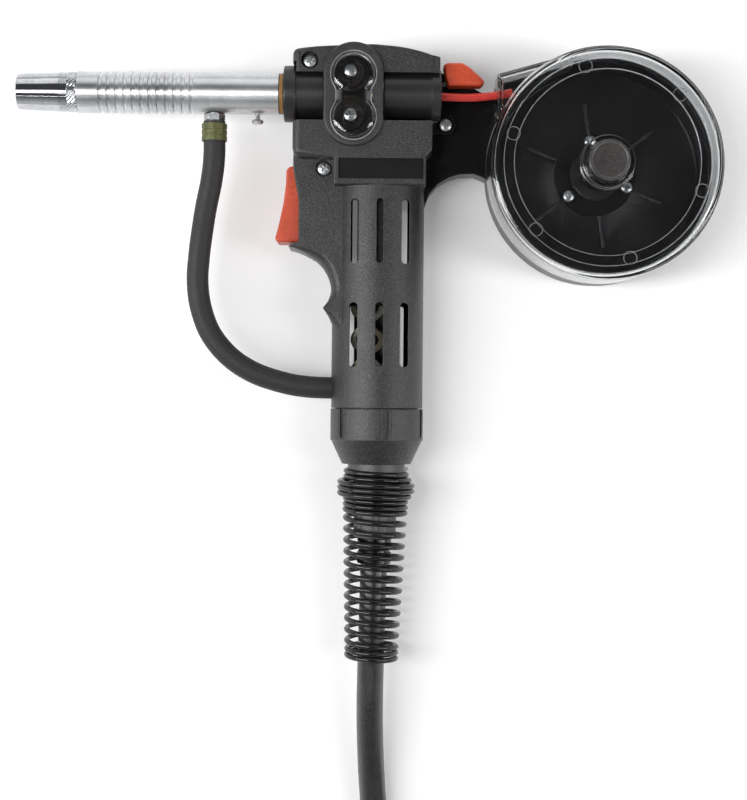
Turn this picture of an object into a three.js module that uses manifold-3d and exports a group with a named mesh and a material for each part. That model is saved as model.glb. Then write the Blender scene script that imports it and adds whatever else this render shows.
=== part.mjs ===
// A MIG spool gun lying on its right side: pistol grip, drive head, barrel, spool canister and cable.
// Millimetres, +Z up. While it is drawn, X runs along the barrel, Y up the grip, and X = Y = 0 is
// where the two axes cross in plan. The last group moves the origin under the middle of the gun.
import * as THREE from 'three';
import { mergeVertices } from 'three/addons/utils/BufferGeometryUtils.js';
import Module from 'manifold-3d';

const wasm = await Module();
wasm.setup();

// ---- driving dimensions ----
const GAP = 0.3;
const HANDLE_Z = 23.1; // height of the grip's axis, and of the plane where the two shells meet
const FEED_Z = HANDLE_Z + 11; // height of the wire's line
const GRIP_R = 22.8;
const GRIP_BORE = 20;
const GRIP_END = -154.6;
const HEAD_TOP_Z = 46.1;
const BOSS_TOP_Z = 48.7;
const WEB_HALF = 14; // half the thickness of the trigger's web
const WALL = 3;

const NOZZLE_TIP = -177.9;
const NOZZLE_END = -148.5;
const BARREL_FRONT = -148.2;
const BARREL_END = -49.3;
const BARREL_R = 10.2;
const COLLAR_FRONT = -46.9;
const COLLAR_END = -40.8;
const FRONT_TUBE_R = 12.4;
const REAR_TUBE_R = 11.8;
const REAR_TUBE_FRONT = 2.2;
const REAR_TUBE_END = 30.2;

const BOSS = { x: -12.6, top: 8.5, bottom: -12.7, r: 14.8 };
const WINDOW = { x: -12.6, top: 7.6, bottom: -13.3, r: 11.8 };
const DRIVE_AXIS = [-14.2, -11.4];
const IDLER_AXIS = [-14.2, 10.3];
const DRIVE_ROLL_R = 11;
const IDLER_ROLL_R = 9.6;
const ROLL_CAP_R = 7.3;
const ROLL_THICK = 7;
const WHEEL_TEETH = 20;
const TOOTH_PITCH = 3;
const WHEEL_PITCH_R = WHEEL_TEETH * TOOTH_PITCH / (2 * Math.PI);
const MOTOR_R = 15;
const MOTOR_FLAT = 10.3; // from the motor's axis to each of its flat sides
const ARM_PIVOT = [14, 4];
const ARM_Z = 27.9; // underside of the idler arm
const ARM_THICK = 2.4;
const LEVER_PIN = [37, 7.1];

const TRIGGER_PIVOT = [-36, -40];
const TRIGGER_HALF = 9.5;

const CAN = { x: 110, y: -35.2, r: 56.5, split: 24.2, lip: 36, top: 56 };
const SPOUT_X = 57.4;
const SPOUT_LOW = -8.3;
const SPOUT_SLOPE = THREE.MathUtils.degToRad(15.5);
const SPOUT_TOP_Z = 46;
const HUB_SCREW_R = 17.3;

const HOSE_X = -81.3;
const HOSE_R = 5.5;
const NECK_END = -186.8;
const RELIEF = { y: -187.9, leanX: -1.1, leanZ: 2 }; // where the spring starts, and its slant in degrees
const SPRING_WIRE_R = 1.5;
// The spring from its free end up: [turns, pitch, first radius, last radius].
const COILS = [
  [2, 3.4, 12.3, 12.3], [12, 5.3, 12.4, 14.9], [2, 3.4, 15.1, 15.1], [3, 3.4, 18.1, 18.1],
  [1, 3.4, 15.1, 15.1],
];
const SPRING_START = RELIEF.y - 1.2 - COILS.reduce((sum, [turns, pitch]) => sum + turns * pitch, 0);

const CABLE_R = 6.7;
const COIL = { x: 83, y: -449, inner: 59, outer: 87, low: 1.2, high: 54.8 };
const TAIL_Y = -529;
const PLUG_X = 140;
const PLUG_R = 15;

// ---- materials ----
const finish = (color, roughness, metalness = 0) => () =>
  new THREE.MeshStandardMaterial({ color, roughness, metalness });
const grained = finish(0x2c2d2e, 0.75);
const smoothBlack = finish(0x1b1c1d, 0.5);
const glossBlack = finish(0x0b0b0c, 0.2);
const rubber = finish(0x1a1b1c, 0.65);
const red = finish(0xd8402a, 0.45);
const clear = () =>
  new THREE.MeshStandardMaterial({ color: 0xdfe6e8, roughness: 0.1, transparent: true, opacity: 0.3 });
const aluminium = finish(0xc3c5c7, 0.35, 1);
const chrome = finish(0xb9bcc0, 0.1, 1);
const zinc = finish(0xa9adb0, 0.35, 1);
const brass = finish(0xa08a4a, 0.4, 1);
const steel = finish(0x8d9093, 0.4, 1);
const tan = finish(0x9a6b34, 0.6);
const copper = finish(0xb5683c, 0.35, 1);
const grey = finish(0x55585a, 0.6);

// ---- solids ----
function solid(geometry) {
  geometry.deleteAttribute('normal');
  geometry.deleteAttribute('uv');
  const merged = mergeVertices(geometry, 1e-4);
  const index = merged.index.array;
  const faces = [];
  for (let i = 0; i < index.length; i += 3) {
    const [a, b, c] = [index[i], index[i + 1], index[i + 2]];
    if (a !== b && b !== c && c !== a) faces.push(a, b, c);
  }
  const build = (list) => new wasm.Manifold(new wasm.Mesh({
    numProp: 3,
    vertProperties: new Float32Array(merged.attributes.position.array),
    triVerts: new Uint32Array(list),
  }));
  const made = build(faces);
  return made.volume() > 0 ? made : build(faces.reverse());
}

function join(first, ...others) {
  return others.reduce((whole, piece) => whole.add(piece), first);
}

function cut(first, ...others) {
  return others.reduce((whole, piece) => whole.subtract(piece), first);
}

function toGeometry(body) {
  const mesh = body.getMesh();
  const geometry = new THREE.BufferGeometry();
  geometry.setAttribute('position', new THREE.BufferAttribute(new Float32Array(mesh.vertProperties), 3));
  geometry.setIndex(new THREE.BufferAttribute(new Uint32Array(mesh.triVerts), 1));
  geometry.computeVertexNormals();
  return geometry;
}

// A flat outline, raised from z0 to z1.
function plate(outline, z0, z1, arcSteps = 8) {
  const shape = outline instanceof THREE.Shape ? outline
    : new THREE.Shape(outline.map(([x, y]) => new THREE.Vector2(x, y)));
  const options = { depth: z1 - z0, bevelEnabled: false, curveSegments: arcSteps };
  return solid(new THREE.ExtrudeGeometry(shape, options).translate(0, 0, z0));
}

function block(x0, x1, y0, y1, z0, z1) {
  const box = new THREE.BoxGeometry(x1 - x0, y1 - y0, z1 - z0);
  return solid(box.translate((x0 + x1) / 2, (y0 + y1) / 2, (z0 + z1) / 2));
}

// A round rod along X, Y or Z; centre holds its two other coordinates in X, Y, Z order.
function rod(axis, r, from, to, centre, sides = 20) {
  const cylinder = new THREE.CylinderGeometry(r, r, to - from, sides).translate(0, (from + to) / 2, 0);
  return solid(place(cylinder, axis, centre));
}

// A turned piece: the profile lists [radius, distance along the axis].
function turned(axis, profile, centre, sides = 24) {
  const points = profile.map(([r, along]) => new THREE.Vector2(r, along));
  return solid(place(new THREE.LatheGeometry(points, sides), axis, centre));
}

function place(geometry, axis, [first, second]) {
  if (axis === 'x') return geometry.rotateZ(-Math.PI / 2).translate(0, first, second);
  if (axis === 'y') return geometry.translate(first, 0, second);
  return geometry.rotateX(Math.PI / 2).translate(first, second, 0);
}

function ring(axis, inner, outer, from, to, centre, sides = 24) {
  const profile = [[inner, from], [outer, from], [outer, to], [inner, to], [inner, from]];
  return turned(axis, profile, centre, sides);
}

// A round bar along a curve.
function bar(curve, r, steps, sides = 8) {
  const section = new THREE.Shape();
  for (let i = 0; i < sides; i += 1) {
    const angle = 2 * Math.PI * i / sides;
    section[i ? 'lineTo' : 'moveTo'](r * Math.cos(angle), r * Math.sin(angle));
  }
  return solid(new THREE.ExtrudeGeometry(section, { steps, extrudePath: curve, bevelEnabled: false }));
}

function through(points) {
  return new THREE.CatmullRomCurve3(points.map((p) => new THREE.Vector3(...p)));
}

// A slot or boss with round ends, standing along Y.
function stadium(x, low, high, r) {
  const shape = new THREE.Shape();
  shape.absarc(x, high, r, 0, Math.PI);
  shape.absarc(x, low, r, Math.PI, 2 * Math.PI);
  shape.closePath();
  return shape;
}

const gun = new THREE.Group();
gun.name = 'spool_gun';

function add(name, body, material) {
  const mesh = new THREE.Mesh(toGeometry(body), material());
  mesh.name = name;
  gun.add(mesh);
  return mesh;
}

const FEED = [0, FEED_Z]; // Y and Z of the wire's line, for pieces along X
const GRIP = [0, HANDLE_Z]; // X and Z of the grip's axis, for pieces along Y

// ---- barrel and nozzle ----
function addBarrel() {
  add('nozzle', turned('x', [
    [7.9, NOZZLE_TIP], [8.5, NOZZLE_TIP], [8.85, NOZZLE_TIP + 0.4], [9.65, -156.6], [9.75, -152.6],
    [9.75, NOZZLE_END], [7.9, NOZZLE_END], [7.9, NOZZLE_TIP],
  ], FEED, 28), chrome);
  add('contact_tip', turned('x', [
    [0.6, -175.1], [1.6, -175.1], [3.2, -172.1], [3.2, -164.9], [2.5, -164.9], [2.5, -155.6],
    [0.6, -155.6], [0.6, -175.1],
  ], FEED, 16), copper);
  add('gas_diffuser', turned('x', [
    [2.8, -164.6], [5.7, -164.6], [5.7, -150.2], [7.5, -150.2], [7.5, NOZZLE_END], [5.7, NOZZLE_END],
    [5.7, -137], [1.6, -137], [1.6, -155.1], [2.8, -155.1], [2.8, -164.6],
  ], FEED, 20), brass);
  const tube = turned('x', [
    [6, BARREL_FRONT], [BARREL_R, BARREL_FRONT], [BARREL_R, BARREL_END], [6, BARREL_END], [6, -34],
    [4, -34], [4, -136], [6, -136], [6, BARREL_FRONT],
  ], FEED, 28);
  const gasPort = rod('y', 3.2, -12, -3, [HOSE_X, FEED_Z], 12);
  const screwHole = rod('y', 1.3, -12, -7, [-60, FEED_Z], 10);
  add('barrel_tube', cut(tube, gasPort, screwHole), aluminium);
  add('barrel_insulator', turned('x', [
    [6.3, -49], [10, -49], [10, -47.2], [8.7, -47.2], [8.7, -33.5], [6.3, -33.5], [6.3, -49],
  ], FEED, 20), tan);
  const screw = join(rod('y', 1, -13, -8, [-60, FEED_Z], 10), rod('y', 2.9, -15, -12.8, [-60, FEED_Z], 14));
  add('barrel_screw', screw, zinc);
}

// ---- drive housing and wire guides ----
function addDriveHousing() {
  const front = turned('x', [
    [9, COLLAR_FRONT], [13.75, COLLAR_FRONT], [13.75, COLLAR_END], [FRONT_TUBE_R, COLLAR_END],
    [FRONT_TUBE_R, -26.6], [2.3, -26.6], [2.3, -31], [9, -31], [9, COLLAR_FRONT],
  ], FEED, 24);
  const rear = turned('x', [
    [3.6, REAR_TUBE_FRONT], [REAR_TUBE_R, REAR_TUBE_FRONT], [REAR_TUBE_R, 25.5], [12.2, 25.5],
    [12.2, REAR_TUBE_END], [9.8, REAR_TUBE_END], [9.8, 5], [3.6, 5], [3.6, REAR_TUBE_FRONT],
  ], FEED, 24);
  const floorOutline = stadium(BOSS.x, BOSS.bottom + 0.5, BOSS.top - 0.5, 12.6);
  const floor = plate(floorOutline, 25.4, ARM_Z - GAP, 8);
  const bridge = block(-29, 4, -6, 6, 25.4, ARM_Z - GAP);
  const shaftHole = rod('z', 3.3, 20, 30, DRIVE_AXIS, 14);
  const armWindow = block(1, 6, -1, 9, 26.6, 30.9);
  const pinHole = rod('z', 1.8, 20, 28, ARM_PIVOT, 12);
  const wormRoom = rod('y', 6.2, -24, 0, GRIP, 16);
  const body = cut(join(front, rear, floor, bridge), shaftHole, armWindow, pinHole, wormRoom);
  add('drive_housing', body, smoothBlack);
  add('inlet_guide', turned('x', [
    [0.9, -4], [1.5, -4], [2.75, -1], [2.75, 18], [2.3, 18], [2.3, 10], [0.9, 10], [0.9, -4],
  ], FEED, 12), brass);
  add('outlet_guide', turned('x', [
    [0.9, -22.5], [0.9, -40], [2, -40], [2, -24], [1.3, -22.5], [0.9, -22.5],
  ], FEED, 12), steel);
}

// ---- rolls, worm drive and motor ----
function rollBody(r, name, screwName, [x, y]) {
  const low = FEED_Z - ROLL_THICK / 2;
  const high = FEED_Z + ROLL_THICK / 2;
  add(name, turned('z', [
    [2.8, low], [r, low], [r, FEED_Z - 0.7], [r - 0.6, FEED_Z], [r, FEED_Z + 0.7], [r, high],
    [ROLL_CAP_R, high], [ROLL_CAP_R, high + 3.2], [6.5, high + 3.6], [1.9, high + 3.6], [1.9, high],
    [2.8, high], [2.8, low],
  ], [x, y], 18), steel);
  const shank = rod('z', 1.6, high - 1, high + 4.2, [x, y], 10);
  const head = rod('z', 3.5, high + 3.9, high + 6, [x, y], 16);
  add(screwName, join(shank, head), zinc);
}

function wormWheel() {
  const outline = [];
  const steps = WHEEL_TEETH * 5;
  for (let i = 0; i < steps; i += 1) {
    const angle = 2 * Math.PI * i / steps;
    const r = WHEEL_PITCH_R - 0.8 * Math.cos(WHEEL_TEETH * angle);
    outline.push([DRIVE_AXIS[0] + r * Math.cos(angle), DRIVE_AXIS[1] + r * Math.sin(angle)]);
  }
  const wheel = plate(outline, HANDLE_Z - 2, HANDLE_Z + 2);
  return cut(wheel, rod('z', 3.3, HANDLE_Z - 5, HANDLE_Z + 5, DRIVE_AXIS, 14));
}

// The thread's crest faces the wheel's centre line, where the wheel has a valley.
function worm() {
  const length = 4.5 * TOOTH_PITCH;
  const middle = DRIVE_AXIS[1];
  const meanR = -DRIVE_AXIS[0] - WHEEL_PITCH_R - 0.35;
  const thread = new THREE.CylinderGeometry(meanR, meanR, length, 12, 27);
  const point = new THREE.Vector3();
  const spots = thread.attributes.position;
  for (let i = 0; i < spots.count; i += 1) {
    point.fromBufferAttribute(spots, i);
    const around = Math.atan2(point.z, -point.x);
    const distance = Math.hypot(point.x, point.z);
    if (distance > 1) {
      const wave = Math.cos(2 * Math.PI * point.y / TOOTH_PITCH + around);
      const scale = (meanR + 0.75 * wave) / distance;
      spots.setXYZ(i, point.x * scale, point.y, point.z * scale);
    }
  }
  const shaft = rod('y', 2, -38, middle + length / 2 + 2, GRIP, 12);
  return join(solid(thread.translate(0, middle, HANDLE_Z)), shaft);
}

function addDrive() {
  rollBody(DRIVE_ROLL_R, 'drive_roll', 'drive_roll_screw', DRIVE_AXIS);
  rollBody(IDLER_ROLL_R, 'idler_roll', 'idler_roll_screw', IDLER_AXIS);
  const shaft = join(rod('z', 3, 6.3, 30.2, DRIVE_AXIS, 14), rod('z', 2.5, 30, 36, DRIVE_AXIS, 14));
  add('drive_shaft', shaft, steel);
  add('worm_wheel', wormWheel(), brass);
  add('worm', worm(), steel);
  const box = join(rod('y', 17, -47.9, -30, GRIP, 28), rod('y', 6, -31, -25, GRIP, 16));
  add('gearbox', cut(box, rod('y', 2.4, -39, -20, GRIP, 12)), zinc);
  const flats = block(-MOTOR_FLAT, MOTOR_FLAT, -98, -48.2, 0, 50);
  const can = rod('y', MOTOR_R, -98, -48.2, GRIP, 32).intersect(flats);
  add('motor', join(can, rod('y', 8, -103, -97, GRIP, 20)), aluminium);
}

// ---- idler arm, pressure lever and pressure spring ----
function addPressureLever() {
  const top = ARM_Z + ARM_THICK;
  const [px, py] = ARM_PIVOT;
  const [ix, iy] = IDLER_AXIS;
  const strap = plate([
    [ix, iy - 4.5], [4, 2.6], [px, py - 3.2], [34, 5.6], [42, 5.6], [42, 8.6], [34.5, 8.6],
    [31, 7], [px, py + 3], [4, 6.4], [ix, iy + 4.5],
  ], ARM_Z, top);
  const eye = rod('z', 5, ARM_Z, top, IDLER_AXIS, 18);
  const axle = rod('z', 2.5, ARM_Z, 36, IDLER_AXIS, 14);
  const holes = [rod('z', 1.8, 20, 40, ARM_PIVOT, 12), rod('z', 1.3, 20, 40, LEVER_PIN, 10)];
  add('idler_arm', cut(join(strap, eye, axle), ...holes), steel);
  const pin = join(rod('z', 1.5, 23.8, 31.5, ARM_PIVOT, 12), rod('z', 2.2, top + GAP, 31.8, ARM_PIVOT, 12));
  add('idler_pivot', pin, zinc);
  const grip = plate([
    [31.4, 14.7], [33.2, 15.9], [40.7, 15.9], [43.8, 14.2], [47.8, 10.7], [51.4, 7.4], [51.6, 6],
    [49.8, 4.6], [33.7, 4.6], [32.2, 9.4],
  ], 26.3, 36.5);
  const pocket = block(30, 42.5, 5.3, 8.9, ARM_Z - GAP, top + GAP);
  const pinHole = rod('z', 1.3, 20, 34, LEVER_PIN, 10);
  add('pressure_lever', cut(grip, pocket, pinHole), red);
  add('lever_pin', rod('z', 1, 26.5, 33.5, LEVER_PIN, 10), steel);
  add('pressure_spring', helix([[5, 1.5, 1.8, 1.8]], 0.4, [22, -7.4, 29.1]), steel);
}

// A spring along +Y from its start; each stretch is [turns, pitch, first radius, last radius].
function helix(stretches, wireR, [x, y, z], sides = 4, stepsPerTurn = 6) {
  const points = [];
  let along = y;
  let angle = 0;
  for (const [turns, pitch, first, last] of stretches) {
    const steps = Math.round(turns * stepsPerTurn);
    for (let i = 0; i < steps; i += 1) {
      const r = first + (last - first) * i / steps;
      points.push([x + r * Math.cos(angle), along, z + r * Math.sin(angle)]);
      along += pitch / stepsPerTurn;
      angle += 2 * Math.PI / stepsPerTurn;
    }
  }
  return bar(through(points), wireR, points.length, sides);
}

// ---- trigger ----
function addTrigger() {
  const low = HANDLE_Z - TRIGGER_HALF;
  const high = HANDLE_Z + TRIGGER_HALF;
  const body = plate([
    [-45.7, -37], [-44.2, -35.6], [-40, -34.6], [-33.4, -36], [-32.6, -44], [-33.8, -60], [-35.4, -72.3],
    [-39.9, -72.6], [-50, -72.8], [-51.1, -71.1], [-49.6, -65.6], [-47, -53.6], [-45.9, -44.4],
  ], low, high);
  const room = block(-36.6, -30, -68, -46, low + 2.5, high - 2.5);
  const springRoom = block(-40, -30, -44, -34, HANDLE_Z - 4, HANDLE_Z + 4);
  const bore = rod('z', 1.8, 0, 50, TRIGGER_PIVOT, 12);
  add('trigger', cut(body, room, springRoom, bore), red);
  add('trigger_pin', rod('z', 1.5, HANDLE_Z - 12.2, HANDLE_Z + 12.2, TRIGGER_PIVOT, 12), steel);
  const coil = helix([[4, 1.3, 2.6, 2.6]], 0.4, [0, -2.6, 0]).rotate([90, 0, 0]);
  add('trigger_spring', coil.translate([...TRIGGER_PIVOT, HANDLE_Z]), steel);
  const housing = block(-31.5, -22.4, -62, -49, HANDLE_Z - 5, HANDLE_Z + 5);
  const button = block(-34.2, -31, -57, -54, HANDLE_Z - 1.5, HANDLE_Z + 1.5);
  add('trigger_switch', join(housing, button), smoothBlack);
}

// ---- housing shells ----
function headOutline(inset = 0) {
  const i = inset;
  return [
    [-42.2 + i, -28.7 + i / 2], [-42.2 + i, 15.4 - i / 2], [-39.5 + i, 19.5 - i], [-34.9 + i / 2, 20.8 - i],
    [-21.2, 21.8 - i], [-5.7, 22.6 - i], [2.4, 22 - i], [11.7, 21.2 - i], [19.8, 19.4 - i],
    [25.4 - i, 17.6 - i], [29.5 - i, 16.7 - i], [29.5 - i, -12.5 + i / 2], [25.9 - i, -14.4 + i / 2],
    [25.8 - i, -28.7 + i / 2], [23 - i, -31.8 + i / 2], [23 - i, -45.8 + i], [-22 + i, -45.8 + i],
    [-22 + i, -32.6 + i], [-38.4 + i, -32.6 + i], [-41.1 + i, -31.4 + i],
  ];
}

// The web that carries the trigger, from under the head to the finger ridge below the trigger.
const WEB = [
  [-42.2, -28.8], [-42.2, -36.6], [-41.2, -42.5], [-39.4, -52.8], [-39.3, -73.2], [-44.3, -75.1],
  [-35.5, -78.7], [-29.9, -82.3], [-26.2, -86.9], [-23.8, -92.5], [-23.3, -97.1], [-25.1, -101.7],
  [-27, -105.4], [-25.1, -108.2], [-23.2, -111.9], [-21, -116], [-10, -116], [-10, -28.8],
];
const WEB_ROOM = [
  [-41, -33.4], [-39, -40], [-36.4, -53], [-36.3, -73.6], [-28, -77.4], [-18, -77.4], [-18, -33.4],
];
const TRIGGER_MOUTH = [
  [-52, -33.4], [-30, -33.4], [-30, -74.2], [-39.2, -73.3], [-44.5, -75.2], [-52, -76],
];
const SCREWS = [
  { at: [-34, 14.6], seat: 41.9, low: 9 },
  { at: [-26.9, -36.9], seat: 35.2, low: 12 },
  { at: [33, -13.4], seat: 25.2, low: 12 },
];
// Cooling slots: [x, radius] in the near shell, and of those in the far shell.
const SLOT_ROWS = [
  {
    low: -83.8, high: -52.2,
    near: [[-11.6, 1.9], [0.8, 1.7], [13.3, 1.9]], far: [[-11.8, 1.3], [13.3, 1.5]],
  },
  {
    low: -134.4, high: -102.8,
    near: [[-11.9, 2], [0.8, 2], [13, 2]], far: [[-13, 1.1], [12, 1.3]],
  },
];

const NOTCH = [-14.5, 9]; // the head is open over the feed tubes between these Y

// Everything that both shells have, as one solid that the parting plane then divides.
function grip() {
  const outside = join(
    rod('y', GRIP_R, GRIP_END, -40, GRIP, 32),
    rod('y', 20.8, GRIP_END - 9, GRIP_END + 2, GRIP, 32),
    plate(WEB, HANDLE_Z - WEB_HALF, HANDLE_Z + WEB_HALF),
  );
  const inside = [
    rod('y', GRIP_BORE, GRIP_END + 1, -30, GRIP, 32),
    rod('y', 18, GRIP_END - 10, GRIP_END + 2, GRIP, 32),
    plate(WEB_ROOM, HANDLE_Z - WEB_HALF + 3.4, HANDLE_Z + WEB_HALF - 3.4),
    plate(TRIGGER_MOUTH, HANDLE_Z - TRIGGER_HALF - GAP, HANDLE_Z + TRIGGER_HALF + GAP),
    rod('x', HOSE_R + 0.4, -26, -15, [-144.7, HANDLE_Z], 16),
    rod('z', 1.8, HANDLE_Z - 12.5, HANDLE_Z + 12.5, TRIGGER_PIVOT, 12),
  ];
  return { outside, inside };
}

function slots(side) {
  const cuts = [];
  for (const row of SLOT_ROWS) {
    for (const [x, r] of row[side]) cuts.push(plate(stadium(x, row.low + r, row.high - r, r), -5, 60, 3));
  }
  return cuts;
}

function screwPost({ at: [x, y], seat, low }, r) {
  return rod('z', r, low, seat, [x, y], 16);
}

function trimToFeed(body) {
  return cut(
    body,
    block(-44, -40.5, -14.6, 14.1, HANDLE_Z, 60),
    block(-41, -27.4, -FRONT_TUBE_R - GAP, FRONT_TUBE_R + GAP, HANDLE_Z, FEED_Z),
    block(-41, -27.4, ...NOTCH, FEED_Z, 60),
    block(REAR_TUBE_FRONT - 0.4, 26, -REAR_TUBE_R - GAP, REAR_TUBE_R + GAP, HANDLE_Z, FEED_Z),
    block(REAR_TUBE_FRONT - 0.4, 31, ...NOTCH, FEED_Z, 60),
    block(25.2, 31, -12.6, 12.6, HANDLE_Z, FEED_Z),
    rod('x', FRONT_TUBE_R + GAP, -41.5, -20, FEED, 24),
    rod('x', 14.05, -50, -40.5, FEED, 24),
    rod('x', REAR_TUBE_R + GAP, 0, 26, FEED, 24),
    rod('x', 12.5, 25.2, 32, FEED, 24),
  );
}

function addShells() {
  const { outside, inside } = grip();
  const screwHoles = SCREWS.map(({ at, low }) => rod('z', 1.8, low, 60, at, 12));

  const nearHead = join(
    plate(headOutline(), HANDLE_Z - 5, HEAD_TOP_Z),
    plate(stadium(BOSS.x, BOSS.bottom, BOSS.top, BOSS.r), HANDLE_Z - 5, BOSS_TOP_Z, 10),
    plate(stadium(33, -13.5, -13.3, 5.4), HANDLE_Z, 27.6, 8),
    block(22, 33, -18.7, -8.2, HANDLE_Z, 27.6),
  );
  const rollRoom = plate(stadium(BOSS.x, BOSS.bottom, BOSS.top, BOSS.r - 1.5), 0, BOSS_TOP_Z - 3.5, 10);
  const windowHole = join(
    rod('z', WINDOW.r, 40, 60, [WINDOW.x, WINDOW.top], 20),
    rod('z', WINDOW.r, 40, 60, [WINDOW.x, WINDOW.bottom], 20),
    block(WINDOW.x - 9.3, WINDOW.x + 9.3, WINDOW.bottom, WINDOW.top, 40, 60),
  );
  const nearRooms = [
    plate(headOutline(WALL), HANDLE_Z - 6, HEAD_TOP_Z - WALL),
    block(-19.7, 21.8, -42.9, -32.8, HEAD_TOP_Z - 1.2, 60),
    rollRoom, windowHole, ...inside,
  ];
  const seats = SCREWS.map(({ at, seat }) => rod('z', 4.3, seat, 60, at, 18));
  const above = block(-80, 80, -200, 60, HANDLE_Z + GAP / 2, 80);
  const nearPosts = SCREWS.slice(0, 2).map((screw) => screwPost({ ...screw, low: HANDLE_Z }, 4.3));
  const hollow = cut(join(outside, nearHead), ...nearRooms);
  const near = trimToFeed(join(hollow, ...nearPosts));
  const finished = cut(near, rollRoom, ...screwHoles, ...seats, ...slots('near'));
  add('left_shell', finished.intersect(above), grained);

  const arm = plate([
    [20, 14], [30, 14], [40, 9.5], [51.4, 3.6], [58, 0], [75, -20], [58, -45], [52.7, -39],
    [47.5, -37], [40.3, -37.3], [34.8, -39.1], [29.5, -42.4], [25.2, -47.6], [22.6, -55], [18, -55],
  ], 6, HANDLE_Z);
  const armRoom = plate([
    [27, 6], [39, 5.6], [50, 0], [50, -31], [37.5, -33.4], [30.4, -37], [27, -40],
  ], 0, HANDLE_Z - 3);
  const farHead = plate(headOutline(), 0, HANDLE_Z);
  const farRooms = [
    plate(headOutline(WALL), WALL, HANDLE_Z + 2), armRoom, ...inside,
  ];
  const bearing = rod('z', 6, 1, 12, DRIVE_AXIS, 18);
  const farPosts = SCREWS.map((screw) => screwPost({ ...screw, low: screw.low - 6.5, seat: HANDLE_Z }, 4.3));
  const below = block(-80, 110, -200, 60, -1, HANDLE_Z - GAP / 2);
  const farHollow = join(cut(join(outside, farHead, arm), ...farRooms), bearing, ...farPosts);
  const far = cut(
    trimToFeed(farHollow), rod('z', 3.3, 5.8, 20, DRIVE_AXIS, 14), ...screwHoles, ...slots('far'),
    canisterOutline(-0.3, -5, 60),
  );
  add('right_shell', far.intersect(below), glossBlack);
  SCREWS.forEach(({ at, seat, low }, i) => {
    const shank = rod('z', 1.5, low + 1, seat + 0.5, at, 10);
    const head = rod('z', 3.5, seat + 0.2, seat + 2.2, at, 16);
    add(`housing_screw_${i + 1}`, join(shank, head), zinc);
  });
}

// ---- spool canister ----
// The wire spout seen from above: inset moves every side inwards.
function spoutOutline(inset) {
  const r = CAN.r - inset;
  const normal = Math.PI / 2 + SPOUT_SLOPE;
  const touch = [CAN.x + r * Math.cos(normal), CAN.y + r * Math.sin(normal)];
  const left = SPOUT_X + inset;
  const leftTop = touch[1] - (touch[0] - left) * Math.tan(SPOUT_SLOPE);
  return [[left, leftTop], touch, [CAN.x - 30, -30], [left, SPOUT_LOW + inset]];
}

// The round wall with its wire spout.
function canisterOutline(inset, z0, z1, spoutZ0 = z0, spoutZ1 = z1) {
  const drum = rod('z', CAN.r - inset, z0, z1, [CAN.x, CAN.y], 36);
  return join(drum, plate(spoutOutline(inset), spoutZ0, spoutZ1));
}

function addCanister() {
  const centre = [CAN.x, CAN.y];
  const tray = cut(
    canisterOutline(0.6, 0, CAN.split, 12, CAN.split),
    canisterOutline(3.1, 2.5, 60, 15, 60),
  );
  const ribs = [];
  for (let i = 0; i < 6; i += 1) {
    const rib = new THREE.BoxGeometry(20, 1.8, 2.5).translate(27, 0, 3.2);
    ribs.push(solid(rib.rotateZ(THREE.MathUtils.degToRad(38 + 60 * i)).translate(CAN.x, CAN.y, 0)));
  }
  const lip = cut(ring('z', 51.8, 54, 20, CAN.lip, centre, 36), plate(spoutOutline(2.2), 25, 60));
  const boss = ring('z', 14, 20.5, 2, 4.6, centre, 32);
  add('canister_base', join(tray, lip, boss, ...ribs), glossBlack);

  const rim = turned('z', [
    [0, CAN.split + GAP], [CAN.r, CAN.split + GAP], [CAN.r, 50], [CAN.r - 0.9, 53.4], [CAN.r - 3, 55.5],
    [CAN.r - 5.5, CAN.top], [50, CAN.top], [50, 55.2], [45, 55.2], [45, 54.4], [12.8, 54.4], [12.8, 58.5],
    [10.4, 58.5], [10.4, 54.2], [0, 54.2], [0, CAN.split + GAP],
  ], centre, 36);
  const inside = canisterOutline(2.2, 20, 52.2, 20, SPOUT_TOP_Z - 2);
  const spout = canisterOutline(0, CAN.split + GAP, 48, CAN.split + GAP, SPOUT_TOP_Z);
  const stemHole = rod('z', 3, 40, 70, centre, 16);
  const wireSlot = block(SPOUT_X - 5, SPOUT_X + 5, -2.6, 3.6, 20, FEED_Z + 2.6);
  add('canister_cover', cut(join(rim, spout), inside, stemHole, wireSlot), clear);

  add('canister_knob', join(
    rod('z', 2.4, 38, 56, centre, 14),
    turned('z', [[0, 54.6], [9.9, 54.6], [9.9, 62.2], [9.1, 63], [0, 63], [0, 54.6]], centre, 28),
  ), smoothBlack);
  const spindle = join(rod('z', 20.8, 4.9, 7.4, centre, 32), rod('z', 5, 7, 50, centre, 16));
  const screwHoles = [];
  for (let i = 0; i < 3; i += 1) {
    const angle = THREE.MathUtils.degToRad(99 + 120 * i);
    const spot = [CAN.x + HUB_SCREW_R * Math.cos(angle), CAN.y + HUB_SCREW_R * Math.sin(angle)];
    screwHoles.push(rod('z', 1.8, 0, 20, spot, 12));
    const screw = join(rod('z', 1.4, 5.2, 8, spot, 10), rod('z', 3, 7.7, 9.6, spot, 16));
    add(`hub_screw_${i + 1}`, screw, zinc);
  }
  add('spool_spindle', cut(spindle, rod('z', 2.8, 36, 60, centre, 14), ...screwHoles), smoothBlack);
  add('spool_hub', turned('z', [
    [5.3, 7.8], [13, 7.8], [13, 10], [7.8, 10], [7.8, 39], [5.3, 39], [5.3, 7.8],
  ], centre, 24), grey);
  add('brake_spring', helix([[3.5, 1.5, 6.5, 6.5]], 0.45, [0, 0, 0], 4, 10).rotate([90, 0, 0])
    .translate([...centre, 39.8]), steel);
  add('spindle_nut', cut(rod('z', 8.6, 46.2, 49.4, centre, 6), rod('z', 5.3, 40, 60, centre, 14)), zinc);
}

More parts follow.
